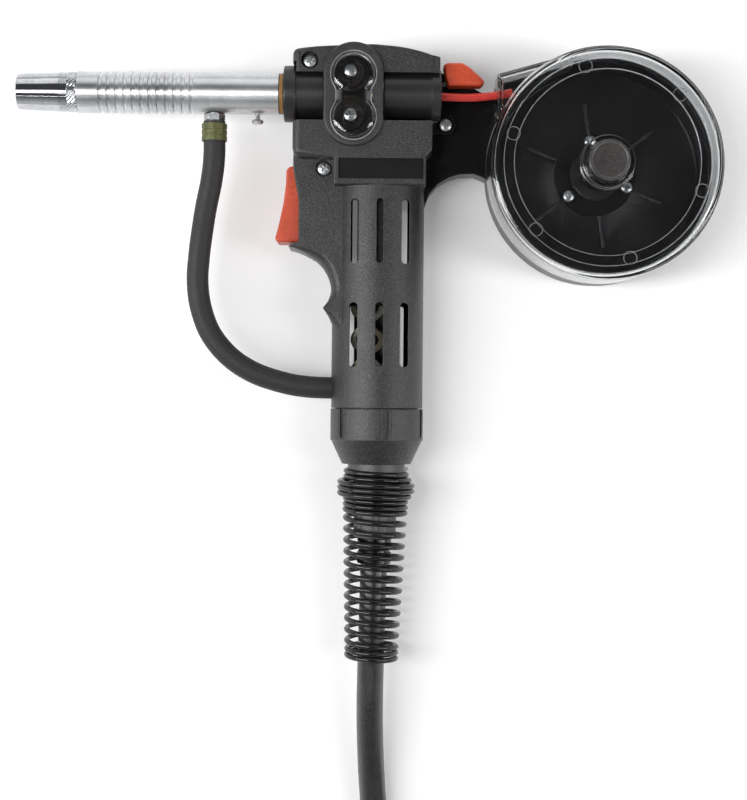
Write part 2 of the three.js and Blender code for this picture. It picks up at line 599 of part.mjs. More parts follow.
// ---- wire conduit and gas hose ----
function addLines() {
  const conduit = through([
    [11, 0, FEED_Z], [24, -0.2, FEED_Z], [31.1, -0.7, FEED_Z], [44.8, -1, FEED_Z], [59.3, 0.4, FEED_Z],
    [65.4, 1.6, FEED_Z],
  ]);
  add('wire_conduit', bar(conduit, 2, 14, 8), red);

  const hexagon = new THREE.CylinderGeometry(5.3, 5.3, 3.2, 6).translate(HOSE_X, -11.9, FEED_Z);
  add('hose_fitting', join(solid(hexagon), rod('y', 2.9, -11, -5, [HOSE_X, FEED_Z], 12)), zinc);
  const hose = through([
    [-81.3, -13.8, 34.1], [-81.3, -30.2, 33.2], [-82.6, -42.4, 32.3], [-85.2, -55.2, 31.4],
    [-87.2, -67.5, 30.5], [-88.8, -80.3, 29.6], [-89.5, -92.7, 28.7], [-87.8, -105.5, 27.8],
    [-82.8, -118.4, 26.9], [-73.3, -129.7, 26], [-60.8, -137.6, 25.1], [-45.9, -142.4, 24.2],
    [-33.4, -144.3, 23.5], [-19.6, -144.7, HANDLE_Z],
  ]);
  add('gas_hose', bar(hose, HOSE_R, 20, 8), rubber);
  add('hose_ferrule', ring('y', HOSE_R + GAP, 6.3, -23.6, -15.1, [HOSE_X, FEED_Z - 0.25], 20), brass);
  const twist = (offset) => {
    const points = [];
    for (let i = 0; i <= 14; i += 1) {
      const angle = offset + i * 0.75;
      points.push([7 * Math.cos(angle) - 5, -104.7 - 3.8 * i, HANDLE_Z + 4 + 7 * Math.sin(angle)]);
    }
    return bar(through(points), 1.4, 16, 5);
  };
  add('motor_lead_1', twist(0), grey);
  add('motor_lead_2', twist(Math.PI), tan);
}

// The clear figure-of-eight bubble over the rolls.
function bubble(inset, z0, z1) {
  const r = WINDOW.r - inset;
  return join(
    rod('z', r, z0, z1, [WINDOW.x, WINDOW.top], 24),
    rod('z', r, z0, z1, [WINDOW.x, WINDOW.bottom], 24),
    block(WINDOW.x - 9.3 + inset, WINDOW.x + 9.3 - inset, WINDOW.bottom, WINDOW.top, z0, z1),
  );
}

function addWindow() {
  const shell = join(bubble(GAP, 45.6, BOSS_TOP_Z), bubble(1.4, BOSS_TOP_Z - 1, BOSS_TOP_Z + 2.2));
  add('drive_window', cut(shell, bubble(2.2, 40, BOSS_TOP_Z + 0.8)), clear);
}

// ---- strain relief ----
// The spring and the sleeves in it lean a little to one side and towards the table.
function lean(body) {
  return body.translate([0, -RELIEF.y, -HANDLE_Z]).rotate([RELIEF.leanZ, 0, RELIEF.leanX])
    .translate([0, RELIEF.y, HANDLE_Z]);
}

function addStrainRelief() {
  add('strain_nut', turned('y', [
    [21.2, GRIP_END - GAP], [23.1, GRIP_END - GAP], [23.1, -170.4], [17.2, -182.3], [14.6, -182.3],
    [14.6, -168], [21.2, -168], [21.2, GRIP_END - GAP],
  ], GRIP, 32), grained);
  add('strain_neck', turned('y', [
    [7.6, -163.6], [17.6, -163.6], [17.6, -167.6], [14.2, -167.6], [14.2, NECK_END], [7.6, NECK_END],
    [7.6, -163.6],
  ], GRIP, 20), smoothBlack);
  add('spring_guard', lean(helix(COILS, SPRING_WIRE_R, [0, SPRING_START, HANDLE_Z], 4, 8)), glossBlack);
  const sleeve = (outer, from, to) => lean(ring('y', 7.2, outer, from, to, GRIP, 20));
  add('cable_ferrule', sleeve(10.7, -219, -189), grey);
  add('cable_clamp', sleeve(8.5, -232, -219.4), zinc);
}

// ---- cable, its coil and its plug ----
function addCable() {
  const run = through([
    [0, -168, HANDLE_Z], [0, -188, HANDLE_Z], [-0.5, -215, 22.1], [-1, -240, 21.3], [-1.55, -265, 20.4],
    [-2, -286, 19.2], [-2.2, -305, 16.6], [-1.8, -325, 12.9], [-0.9, -343, 9.8], [0.3, -359, 8.2],
    [1.6, -376, 7.9], [2.6, -398, 7.9],
  ]);
  add('cable_run', bar(run, CABLE_R, 22, 10), rubber);
  const { x, y, inner, outer, low, high } = COIL;
  add('cable_coil', ring('z', inner, outer, low, high, [x, y], 40), rubber);
  const tail = through([
    [x + 1, TAIL_Y - CABLE_R - 8.4, 18.5], [x + 20, TAIL_Y - 14.5, 17.4], [x + 38, TAIL_Y - 13, 15.8],
    [PLUG_X - 1, TAIL_Y - 12, PLUG_R],
  ]);
  add('cable_tail', bar(tail, CABLE_R, 6, 10), rubber);
  const loopOuter = block(inner - 1.1, outer + 1.1, -3, 3, low - 1.1, high + 1.1);
  const loopInner = block(inner - 0.4, outer + 0.4, -5, 5, low - 0.4, high + 0.4);
  const tie = cut(loopOuter, loopInner).rotate([0, 0, 50]).translate([x, y, 0]);
  add('cable_tie', tie, smoothBlack);
  const plugAt = [TAIL_Y - 12, PLUG_R];
  add('plug_body', turned('x', [
    [0, PLUG_X], [9.5, PLUG_X], [11.5, PLUG_X + 32], [PLUG_R, PLUG_X + 36], [PLUG_R, PLUG_X + 74],
    [12.5, PLUG_X + 78], [0, PLUG_X + 78], [0, PLUG_X],
  ], plugAt, 24), rubber);
  add('power_pin', turned('x', [
    [0, PLUG_X + 78.3], [7.5, PLUG_X + 78.3], [7.5, PLUG_X + 84], [6, PLUG_X + 84], [6, PLUG_X + 110],
    [4.2, PLUG_X + 113], [0, PLUG_X + 113], [0, PLUG_X + 78.3],
  ], plugAt, 20), brass);
}

addBarrel();
addDriveHousing();
addDrive();
addPressureLever();
addTrigger();
addShells();
addCanister();
addWindow();
addLines();
addStrainRelief();
addCable();

const SPRING_END = SPRING_START - SPRING_WIRE_R;
const middle = [(NOZZLE_TIP + CAN.x + CAN.r) / 2, (BOSS.top + BOSS.r + SPRING_END) / 2];
gun.position.set(-middle[0], -middle[1], 0);
const assembly = new THREE.Group();
assembly.add(gun);

export default assembly;
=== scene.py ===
"""A MIG spool gun on its side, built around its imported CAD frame."""
from math import asin, cos, pi, radians, sin, sqrt, tan

import bmesh
import bpy
from mathutils import Matrix, Vector


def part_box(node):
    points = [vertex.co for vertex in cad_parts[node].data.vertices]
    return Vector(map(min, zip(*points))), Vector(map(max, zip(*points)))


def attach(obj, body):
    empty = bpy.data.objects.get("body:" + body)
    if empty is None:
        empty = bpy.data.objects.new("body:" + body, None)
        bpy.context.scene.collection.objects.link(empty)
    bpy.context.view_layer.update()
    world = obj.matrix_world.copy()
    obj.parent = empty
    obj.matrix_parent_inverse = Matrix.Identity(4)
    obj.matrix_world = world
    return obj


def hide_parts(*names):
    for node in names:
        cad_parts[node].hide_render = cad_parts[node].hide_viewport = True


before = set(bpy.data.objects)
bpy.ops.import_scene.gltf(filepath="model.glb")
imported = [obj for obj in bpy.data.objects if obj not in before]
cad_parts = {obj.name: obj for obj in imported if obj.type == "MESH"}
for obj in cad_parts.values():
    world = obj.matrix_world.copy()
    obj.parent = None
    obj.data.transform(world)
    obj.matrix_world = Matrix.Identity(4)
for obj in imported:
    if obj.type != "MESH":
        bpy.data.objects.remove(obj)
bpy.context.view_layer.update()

# ---- driving dimensions, in millimetres: X runs along the barrel, Y up the grip ----
HANDLE_Z = 23.1
FEED_Z = 34.1
GAP = 0.3
NOZZLE_TIP = -177.9
CAN_X, CAN_Y, CAN_R, CAN_SPLIT, CAN_LIP, CAN_TOP = 110, -35.2, 56.5, 24.2, 36, 56
SPOUT_LEFT, SPOUT_LOW, SPOUT_SLOPE = 57.4, -8.3, radians(15.5)
WIN_X, WIN_TOP, WIN_LOW, WIN_R, WIN_WAIST = -12.6, 7.6, -13.3, 11.8, 9.3
WIN_BASE, WIN_FOOT, WIN_CROWN, WIN_BULGE = 45.6, 48.7, 50.9, 2.2
BOSS_X, BOSS_HIGH, BOSS_LOW, BOSS_R, BOSS_Z = -12.6, 8.5, -12.7, 14.8, 48.7
HEAD_Z = 46.1
GRIP_R, GRIP_BORE, GRIP_END = 22.8, 20, -154.6
WEB_HALF, TRIGGER_HALF = 14, 9.5
TRIGGER_PIVOT = (-36, -40)
DRIVE_AXIS, IDLER_AXIS = (-14.2, -11.4), (-14.2, 10.3)
FRONT_TUBE_R, REAR_TUBE_R = 12.4, 11.8
HOSE_X, HOSE_R = -81.3, 5.5
BARREL_SCREW_X = -60
CABLE_R = 6.7
COIL_X, COIL_Y = 83, -449
PLUG_X, PLUG_Y, PLUG_Z = 140, -541, 15
RELIEF_Y, LEAN_X, LEAN_Z = -187.9, -1.1, 2
FEED, GRIP, HOSE_TOP, CAN = (0, FEED_Z), (0, HANDLE_Z), (HOSE_X, FEED_Z), (CAN_X, CAN_Y)
SCREWS = [((-34, 14.6), 41.9, 9), ((-26.9, -36.9), 35.2, 12), ((33, -13.4), 25.2, 12)]
HUB_SCREW_R = 17.3
TINY = 1e-6
ADD, CUT, KEEP = "UNION", "DIFFERENCE", "INTERSECT"

SHIFT_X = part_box("nozzle")[0].x * 1000 - NOZZLE_TIP
SHIFT_Y = (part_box("spool_hub")[0].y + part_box("spool_hub")[1].y) * 500 - CAN_Y


def at(x, y, z=0.0):
    """A point of the drawing, in millimetres, in the row frame."""
    return Vector(((x + SHIFT_X) / 1000, (y + SHIFT_Y) / 1000, z / 1000))


# ---- meshes: (points, faces) in millimetres ----
def rounded(points, radius, steps=4, closed=True):
    """The outline with each corner turned into an arc; radius is one number, or one for each corner."""
    count = len(points)
    radii = radius if isinstance(radius, (list, tuple)) else [radius] * count
    result = []
    for i, corner in enumerate(points):
        here = Vector(corner[:2])
        if radii[i] <= 0 or (not closed and i in (0, count - 1)):
            result.append(tuple(here))
            continue
        back = Vector(points[i - 1][:2]) - here
        ahead = Vector(points[(i + 1) % count][:2]) - here
        angle = back.angle(ahead, pi)
        if angle > pi - 0.02:
            result.append(tuple(here))
            continue
        reach = min(radii[i] / tan(angle / 2), 0.46 * back.length, 0.46 * ahead.length)
        start = here + back.normalized() * reach
        end = here + ahead.normalized() * reach
        for k in range(steps + 1):
            t = k / steps
            result.append(tuple(start * (1 - t) ** 2 + here * 2 * t * (1 - t) + end * t * t))
    return result


def placed(points, axis, centre):
    """Points drawn round the Z axis, turned to stand along X, Y or Z."""
    a, b = centre
    if axis == "x":
        return [(z, a + y, b - x) for x, y, z in points]
    if axis == "y":
        return [(a + x, z, b + y) for x, y, z in points]
    return [(a + x, b + y, z) for x, y, z in points]


def lathe(profile, axis="z", centre=(0, 0), sides=96, relief=None):
    """A turned solid from (radius, distance along); relief(angle, along, radius) moves the surface out."""
    rows = []
    points = []
    for r, along in profile:
        if r < TINY:
            rows.append([len(points)] * sides)
            points.append((0, 0, along))
            continue
        rows.append(list(range(len(points), len(points) + sides)))
        for k in range(sides):
            angle = 2 * pi * k / sides
            out = r + (relief(angle, along, r) if relief else 0)
            points.append((out * cos(angle), out * sin(angle), along))
    closing = rows[:1] if profile[0][0] > TINY else []
    faces = []
    for low, high in zip(rows, rows[1:] + closing):
        for k in range(sides):
            n = (k + 1) % sides
            face = tuple(dict.fromkeys((low[k], low[n], high[n], high[k])))
            if len(face) > 2:
                faces.append(face)
    return placed(points, axis, centre), faces


def area(outline):
    ahead = outline[1:] + outline[:1]
    return sum(a[0] * b[1] - b[0] * a[1] for a, b in zip(outline, ahead)) / 2


def inset(outline, widths):
    """The outline moved inwards by one width, or by each corner's own."""
    count = len(outline)
    widths = widths if isinstance(widths, list) else [widths] * count
    result = []
    for i, (x, y) in enumerate(outline):
        before = Vector((x - outline[i - 1][0], y - outline[i - 1][1])).normalized()
        after = outline[(i + 1) % count]
        after = Vector((after[0] - x, after[1] - y)).normalized()
        left = Vector((-before.y, before.x))
        across = left + Vector((-after.y, after.x))
        if across.length < TINY:
            across = left.copy()
        across.normalize()
        stretch = min(1.6, 1 / max(0.3, across.dot(left)))
        result.append((x + across.x * widths[i] * stretch, y + across.y * widths[i] * stretch))
    return result


def prism(outline, z0, z1, top=(0, 0), bottom=(0, 0), steps=4):
    """An upright solid whose top and bottom edges are rolled over by (width, height).

    A width may be a list with one for each corner; height is then how many times the width it is."""
    outline = [tuple(p[:2]) for p in outline]
    if area(outline) < 0:
        outline = outline[::-1]
        top, bottom = [(w[::-1] if isinstance(w, list) else w, h) for w, h in (top, bottom)]
    count = len(outline)
    rings = []
    for (width, height), z, sign in ((bottom, z0, 1), (top, z1, -1)):
        varied = isinstance(width, list)
        widths = width if varied else [width] * count
        drops = [height * w for w in widths] if varied else [height] * count
        part = []
        for k in range(steps + 1 if max(widths) > 0 else 1):
            t = pi / 2 * k / steps
            shares = [w * (1 - sin(t)) for w in widths]
            part.append([(x, y, z + sign * drop * (1 - cos(t)))
                         for (x, y), drop in zip(inset(outline, shares), drops)])
        rings += part if sign > 0 else part[::-1]
    return stacked(rings)


def stacked(rings):
    """A closed solid through rings that have the same number of points."""
    count = len(rings[0])
    points = [p for ring_points in rings for p in ring_points]
    faces = [tuple(range(count))[::-1]]
    for low in range(0, len(points) - count, count):
        for i in range(count):
            n = (i + 1) % count
            faces.append((low + i, low + n, low + count + n, low + count + i))
    faces.append(tuple(range(len(points) - count, len(points))))
    return points, faces


def block(x0, x1, y0, y1, z0, z1, edge=0):
    outline = rounded([(x0, y0), (x1, y0), (x1, y1), (x0, y1)], edge, 3)
    return prism(outline, z0, z1, (edge, edge), (edge, edge), 3)


def rod(axis, r, low, high, centre, sides=64, edge=0):
    profile = [(0, low), (r, low), (r, high), (0, high)]
    return lathe(rounded(profile, edge, 3, False) if edge else profile, axis, centre, sides)


def ring(axis, inner, outer, low, high, centre, edge=0.3, sides=96):
    profile = rounded([(inner, low), (outer, low), (outer, high), (inner, high)], edge, 3)
    return lathe(profile, axis, centre, sides)


def stadium(x, low, high, r, steps=24):
    upper = [pi * k / steps for k in range(steps + 1)]
    arc = [(x + r * cos(a), high + r * sin(a)) for a in upper]
    return arc + [(x - r * cos(a), low - r * sin(a)) for a in upper]


def spline(points, per_span=8):
    """A smooth line through the points."""
    knots = [Vector(p) for p in points]
    padded = [knots[0] * 2 - knots[1]] + knots + [knots[-1] * 2 - knots[-2]]
    result = []
    for a, b, c, d in zip(padded, padded[1:], padded[2:], padded[3:]):
        for k in range(per_span):
            t = k / per_span
            result.append(0.5 * (2 * b + (c - a) * t + (2 * a - 5 * b + 4 * c - d) * t * t
                                 + (3 * b - a - 3 * c + d) * t ** 3))
    return result + [knots[-1]]


def tube(path, r, sides=24, relief=None):
    """A round bar along a path, with flat ends; relief(angle, distance) moves the surface out."""
    path = [Vector(p) for p in path]
    normal = (path[1] - path[0]).normalized().orthogonal().normalized()
    distance = 0
    rings = []
    for i, here in enumerate(path):
        before = path[max(i - 1, 0)]
        ahead = (path[min(i + 1, len(path) - 1)] - before).normalized()
        distance += (here - before).length
        normal = (normal - ahead * normal.dot(ahead)).normalized()
        side = ahead.cross(normal)
        rings.append([])
        for k in range(sides):
            angle = 2 * pi * k / sides
            out = r + (relief(angle, distance) if relief else 0)
            rings[-1].append(tuple(here + (normal * cos(angle) + side * sin(angle)) * out))
    return stacked(rings)


def moved(shape, matrix):
    return [tuple(matrix @ Vector(p)) for p in shape[0]], shape[1]


def turned_about(shape, axis, degrees, centre):
    centre = Vector(centre)
    turn = Matrix.Rotation(radians(degrees), 4, axis)
    return moved(shape, Matrix.Translation(centre) @ turn @ Matrix.Translation(-centre))


def to_mesh(shape, name="shape"):
    mesh = bpy.data.meshes.new(name)
    mesh.from_pydata(shape[0], [], shape[1])
    work = bmesh.new()
    work.from_mesh(mesh)
    bmesh.ops.remove_doubles(work, verts=work.verts, dist=1e-4)
    bmesh.ops.recalc_face_normals(work, faces=work.faces)
    work.to_mesh(mesh)
    work.free()
    return mesh


def new_object(name, data):
    made = bpy.data.objects.new(name, data)
    bpy.context.scene.collection.objects.link(made)
    return made


def carved(steps):
    """One mesh from a list of (ADD, CUT or KEEP, shape); the first is the starting shape."""
    whole = new_object("carving", to_mesh(steps[0][1]))
    tools = []
    for operation, shape in steps[1:]:
        tools.append(new_object("tool", to_mesh(shape)))
        change = whole.modifiers.new("carve", "BOOLEAN")
        change.operation = operation
        change.solver = "MANIFOLD"
        change.object = tools[-1]
    bpy.context.view_layer.update()
    graph = bpy.context.evaluated_depsgraph_get()
    mesh = bpy.data.meshes.new_from_object(whole.evaluated_get(graph))
    for item in [whole, *tools]:
        old = item.data
        bpy.data.objects.remove(item)
        bpy.data.meshes.remove(old)
    return mesh


def piece(name, shape, material, replaces=None, body="frame", sharp=35):
    """An object from a shape or a carved mesh, tied to its body and to the CAD node that it stands for."""
    mesh = shape if isinstance(shape, bpy.types.Mesh) else to_mesh(shape)
    mesh.transform(Matrix.Translation((SHIFT_X / 1000, SHIFT_Y / 1000, 0)) @ Matrix.Scale(0.001, 4))
    mesh.name = name
    for face in mesh.polygons:
        face.use_smooth = True
    mesh.set_sharp_from_angle(angle=radians(sharp))
    mesh.materials.clear()
    mesh.materials.append(material)
    made = new_object(name, mesh)
    even = made.modifiers.new("even", "WEIGHTED_NORMAL")
    even.keep_sharp = True
    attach(made, body)
    if replaces:
        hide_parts(replaces)
    return made


# ---- materials ----
def link(source, target):
    source.id_data.links.new(source, target)


def set_sockets(shader, values):
    for key, value in values.items():
        shader.inputs[key.replace("_", " ")].default_value = value


def node(tree, kind, **inputs):
    made = tree.nodes.new("ShaderNode" + kind)
    set_sockets(made, inputs)
    return made


def blank(name):
    """A new material with its node tree, its shader and the object's coordinates."""
    material = bpy.data.materials.new(name)
    material.use_nodes = True
    tree = material.node_tree
    return material, tree, tree.nodes["Principled BSDF"], node(tree, "TexCoord").outputs["Object"]


def ranged(source, low, high, start=0.0, end=1.0):
    made = node(source.id_data, "MapRange", From_Min=start, From_Max=end, To_Min=low, To_Max=high)
    link(source, made.inputs["Value"])
    return made.outputs["Result"]


def blended(factor, first, second):
    made = node(factor.id_data, "Mix")
    made.data_type = "RGBA"
    link(factor, made.inputs[0])
    for socket, value in ((made.inputs[6], first), (made.inputs[7], second)):
        if isinstance(value, (tuple, list)):
            socket.default_value = (*value, 1)
        else:
            link(value, socket)
    return made.outputs[2]


def noise(where, scale, detail=3.0, stretch=(1, 1, 1)):
    mapping = node(where.id_data, "Mapping", Scale=stretch)
    link(where, mapping.inputs["Vector"])
    made = node(where.id_data, "TexNoise", Scale=scale, Detail=detail, Roughness=0.55)
    link(mapping.outputs["Vector"], made.inputs["Vector"])
    return made.outputs["Fac"]


def finish(name, dark, light, rough, grain=1500, depth=0.05, contrast=(0.35, 0.65), stretch=(1, 1, 1),
           edge=None, edge_highlight_width=0.35, smudge=0.05, shading=(0.82, 1.12), around=None, **sockets):
    """A moulded or turned surface: grain, blotches in its roughness, and a painted highlight that makes its
    rounded edges paler.
    """
    material, tree, shader, where = blank(name)
    fine = noise(where, grain, 4, stretch)
    broad = noise(where, 55, 5)
    scaled = node(tree, "VectorMath")
    scaled.operation = "SCALE"
    link(blended(ranged(fine, 0, 1, *contrast), dark, light), scaled.inputs[0])
    link(ranged(broad, *shading, 0.3, 0.7), scaled.inputs["Scale"])
    colour = scaled.outputs[0]
    bump = node(tree, "Bump", Strength=1.0, Distance=depth / 1000)
    link(fine, bump.inputs["Height"])
    # Painted highlight: the edge colour is mixed in along rounded edges, which the Bevel node finds.
    if edge:
        bevel = node(tree, "Bevel", Radius=edge_highlight_width / 1000)
        bevel.samples = 4
        dot = node(tree, "VectorMath")
        dot.operation = "DOT_PRODUCT"
        link(bevel.outputs[0], dot.inputs[0])
        link(node(tree, "NewGeometry").outputs["Normal"], dot.inputs[1])
        colour = blended(ranged(dot.outputs["Value"], 0.75, 0, 0.8, 0.99), colour, edge)
        link(bevel.outputs[0], bump.inputs["Normal"])
    link(bump.outputs[0], shader.inputs["Normal"])
    link(colour, shader.inputs["Base Color"])
    link(ranged(broad, rough - smudge, rough + smudge, 0.3, 0.7), shader.inputs["Roughness"])
    if around:
        tangent = node(tree, "Tangent")
        tangent.direction_type, tangent.axis = "RADIAL", around
        link(tangent.outputs[0], shader.inputs["Tangent"])
    set_sockets(shader, sockets)
    return material


def clear_finish(name, tint, rough=0.02, scratch=0.01):
    """Clear polycarbonate with a faint haze and fine scratches."""
    material, tree, shader, where = blank(name)
    haze = noise(where, 40, 6)
    scratches = noise(where, 260, 3, (1, 14, 1))
    bump = node(tree, "Bump", Strength=0.5, Distance=scratch / 1000)
    link(scratches, bump.inputs["Height"])
    link(bump.outputs[0], shader.inputs["Normal"])
    link(blended(ranged(haze, 0, 1, 0.4, 0.75), tint, (0.9, 0.92, 0.93)),
         shader.inputs["Base Color"])
    link(ranged(haze, rough, rough + 0.05, 0.35, 0.75), shader.inputs["Roughness"])
    set_sockets(shader, {"Transmission Weight": 1, "IOR": 1.5})
    return material


# Each edge colour below is a painted highlight along that material's rounded edges.
HOUSING = finish("housing", (0.001, 0.001, 0.0012), (0.046, 0.047, 0.048), 0.38, 1500, 0.24, (0.44, 0.68),
                 edge=(0.11, 0.11, 0.115), Specular_IOR_Level=0.6)
SATIN_BLACK = finish("satin_black", (0.008, 0.008, 0.009), (0.015, 0.015, 0.017), 0.4, 2200, 0.03,
                     edge=(0.05, 0.05, 0.05))
LABEL_BLACK = finish("label_black", (0.003, 0.003, 0.003), (0.006, 0.006, 0.006), 0.45, 2200, 0.01,
                     Specular_IOR_Level=0.2)
GLOSS_BLACK = finish("gloss_black", (0.002, 0.002, 0.0025), (0.005, 0.005, 0.006), 0.28, 900, 0.012,
                     edge=(0.02, 0.02, 0.022), Specular_IOR_Level=0.25)
TRAY_BLACK = finish("tray_black", (0.004, 0.004, 0.0045), (0.016, 0.016, 0.017), 0.34, 60, 0.02, (0.3, 0.7),
                    edge=(0.1, 0.1, 0.105), edge_highlight_width=0.6, Specular_IOR_Level=0.35)
SPRING_BLACK = finish("spring_black", (0.003, 0.003, 0.0035), (0.008, 0.008, 0.009), 0.16, 900, 0.012)
RUBBER = finish("rubber", (0.01, 0.01, 0.011), (0.022, 0.022, 0.024), 0.27, 700, 0.03,
                Specular_IOR_Level=0.9)
BRAID = finish("braid", (0.006, 0.006, 0.007), (0.022, 0.022, 0.024), 0.6, 1500, 0.08)
RED = finish("red_plastic", (0.5, 0.048, 0.014), (0.63, 0.082, 0.027), 0.42, 1400, 0.04,
             edge=(0.8, 0.2, 0.1), edge_highlight_width=0.6)
RED_TUBE = finish("red_tube", (0.55, 0.03, 0.022), (0.66, 0.05, 0.035), 0.35, 900, 0.02)
ALUMINIUM = finish("aluminium", (0.52, 0.53, 0.54), (0.66, 0.67, 0.68), 0.36, 1200, 0.008, (0.3, 0.7),
                   (4, 0.25, 0.25), around="X", Metallic=1, Anisotropic=0.6, Anisotropic_Rotation=0.25)
SILVER = finish("silver", (0.1, 0.1, 0.1), (0.16, 0.16, 0.16), 0.4, 900, 0.01, Metallic=1)
CHROME = finish("chrome", (0.5, 0.51, 0.53), (0.6, 0.61, 0.63), 0.06, 500, 0.003, Metallic=1, smudge=0.02)
ZINC = finish("zinc", (0.4, 0.41, 0.42), (0.66, 0.67, 0.68), 0.3, 1500, 0.03, edge=(0.85, 0.85, 0.85),
              edge_highlight_width=0.2, Metallic=1)
BRASS = finish("brass", (0.3, 0.24, 0.08), (0.52, 0.42, 0.16), 0.38, 600, 0.03, Metallic=0.9)
STEEL = finish("steel", (0.24, 0.24, 0.24), (0.4, 0.4, 0.4), 0.38, 1300, 0.02, Metallic=1)
ROLL_STEEL = finish("roll_steel", (0.02, 0.016, 0.012), (0.05, 0.04, 0.031), 0.33, 900, 0.03, Metallic=0.6)
COPPER = finish("copper", (0.55, 0.22, 0.11), (0.75, 0.36, 0.2), 0.35, 900, 0.02, Metallic=1)
TAN = finish("tan_insulator", (0.2, 0.095, 0.02), (0.36, 0.185, 0.05), 0.5, 900, 0.03)
GREY = finish("grey_plastic", (0.04, 0.041, 0.043), (0.075, 0.076, 0.079), 0.42, 1500, 0.04,
              edge=(0.16, 0.16, 0.16))
OLIVE = finish("olive_brass", (0.065, 0.068, 0.022), (0.15, 0.158, 0.06), 0.42, 420, 0.03, (0.3, 0.7),
               (3, 0.4, 3), Metallic=0.35)
LEAD_WHITE = finish("lead_white", (0.66, 0.63, 0.56), (0.86, 0.83, 0.76), 0.5, 800, 0.02)
LEAD_TAN = finish("lead_tan", (0.48, 0.42, 0.29), (0.7, 0.63, 0.46), 0.5, 800, 0.02)
CLEAR = clear_finish("clear_cover", (0.93, 0.94, 0.945), scratch=0.004)
CLEAR_WINDOW = clear_finish("clear_window", (0.96, 0.97, 0.97), 0.015, 0.0004)
# Painted highlight: grey lines laid on the clear parts where their rims, steps and ridges catch the light.
CLEAR_HIGHLIGHT = finish("clear_highlight", (0.24, 0.25, 0.26), (0.42, 0.43, 0.44), 0.2, 300, 0.005,
                    Transmission_Weight=0.3, IOR=1.5)
RIB_GREY = finish("rib_grey", (0.03, 0.031, 0.032), (0.075, 0.077, 0.08), 0.4, 400, 0.02)
KNOB = finish("knob_satin", (0.03, 0.028, 0.027), (0.055, 0.052, 0.05), 0.3, 900, 0.02,
              edge=(0.3, 0.3, 0.3), edge_highlight_width=0.7)

CAD_FINISHES = (
    (STEEL, "outlet_guide drive_shaft worm idler_arm lever_pin trigger_pin"),
    (STEEL, "pressure_spring trigger_spring brake_spring"),
    (BRASS, "gas_diffuser inlet_guide worm_wheel"), (ZINC, "idler_pivot gearbox spindle_nut"),
    (SATIN_BLACK, "trigger_switch spool_hub"), (COPPER, "contact_tip"), (LABEL_BLACK, "spool_spindle"),
    (SILVER, "motor"),
)


def finish_cad_node(name, material):
    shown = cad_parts[name]
    shown.data.materials.clear()
    shown.data.materials.append(material)
    for face in shown.data.polygons:
        face.use_smooth = True
    edges = shown.modifiers.new("edges", "BEVEL")
    edges.width = 0.00015
    edges.segments = 2
    edges.limit_method = "ANGLE"
    edges.angle_limit = radians(40)
    even = shown.modifiers.new("even", "WEIGHTED_NORMAL")
    even.keep_sharp = True


def finish_cad_nodes():
    for material, names in CAD_FINISHES:
        for name in names.split():
            finish_cad_node(name, material)


# ---- camera, light and floor ----
CAMERA_AT = (-1.64, -150.52, 843.1)
CAMERA_LENS, CAMERA_ROLL = 73.8, 0.5
FLOOR_REACH = 4


def softbox(name, place, size, power, aim=(0, 0, 0)):
    data = bpy.data.lights.new(name, "AREA")
    data.shape = "RECTANGLE"
    data.size, data.size_y = size
    data.energy = power
    light = new_object(name, data)
    light.location = place
    light.rotation_euler = (Vector(aim) - Vector(place)).to_track_quat("-Z", "Y").to_euler()


def make_camera():
    scene = bpy.context.scene
    data = bpy.data.cameras.new("camera")
    data.lens, data.sensor_width, data.sensor_fit = CAMERA_LENS, 36, "AUTO"
    data.clip_start, data.clip_end = 0.01, 20
    camera = new_object("camera", data)
    camera.location = at(*CAMERA_AT)
    camera.rotation_euler = (0, 0, radians(CAMERA_ROLL))
    scene.camera = camera
    scene.view_settings.view_transform = "Standard"
    scene.view_settings.look = "None"


def make_lights():
    """Softboxes around the table, and a sky that is white low down and dark overhead."""
    softbox("key", (-0.8, -0.05, 1.0), (0.3, 1.4), 15)
    softbox("fill", (0.98, -0.15, 0.85), (0.26, 1.2), 7)
    softbox("back", (0.1, 1.3, 0.75), (1.6, 0.9), 4)
    softbox("strip", (-0.1, -0.58, 1.02), (1.3, 0.014), 0.55, (-0.1, 0, 0))
    world = bpy.data.worlds.new("studio")
    world.use_nodes = True
    tree = world.node_tree
    parts = node(tree, "SeparateXYZ")
    link(node(tree, "TexCoord").outputs["Generated"], parts.inputs[0])
    height = ranged(parts.outputs["Z"], 0, 1, 0.15, 0.8)
    sky = tree.nodes["Background"]
    link(blended(height, (1.0, 1.0, 1.0), (0.1, 0.1, 0.105)), sky.inputs["Color"])
    sky.inputs["Strength"].default_value = 0.75
    bpy.context.scene.world = world


def make_floor():
    mesh = bpy.data.meshes.new("floor")
    corners = [(x * FLOOR_REACH, y * FLOOR_REACH, 0) for x, y in ((-1, -1), (1, -1), (1, 1), (-1, 1))]
    mesh.from_pydata(corners, [], [(0, 1, 2, 3)])
    pale = (0.93, 0.93, 0.93)
    mesh.materials.append(finish("floor", pale, pale, 0.9, 40, 0.0, smudge=0, shading=(1, 1),
                                 Emission_Color=(1, 1, 1, 1), Emission_Strength=0.12))
    floor = new_object("floor", mesh)


# ---- cable, coil and gas hose ----
CABLE_RUN = [
    (0, -186.8, 23.1), (-0.2, -200, 22.7), (-0.5, -215, 22.1), (-1, -240, 21.3), (-1.55, -265, 20.4),
    (-2, -286, 19.2), (-2.2, -305, 16.6), (-1.8, -325, 12.9), (-0.9, -343, 9.8), (0.3, -359, 8.2),
    (1.6, -376, 7.9), (2.6, -398, 7.9), (3, -420, 7.9),
]
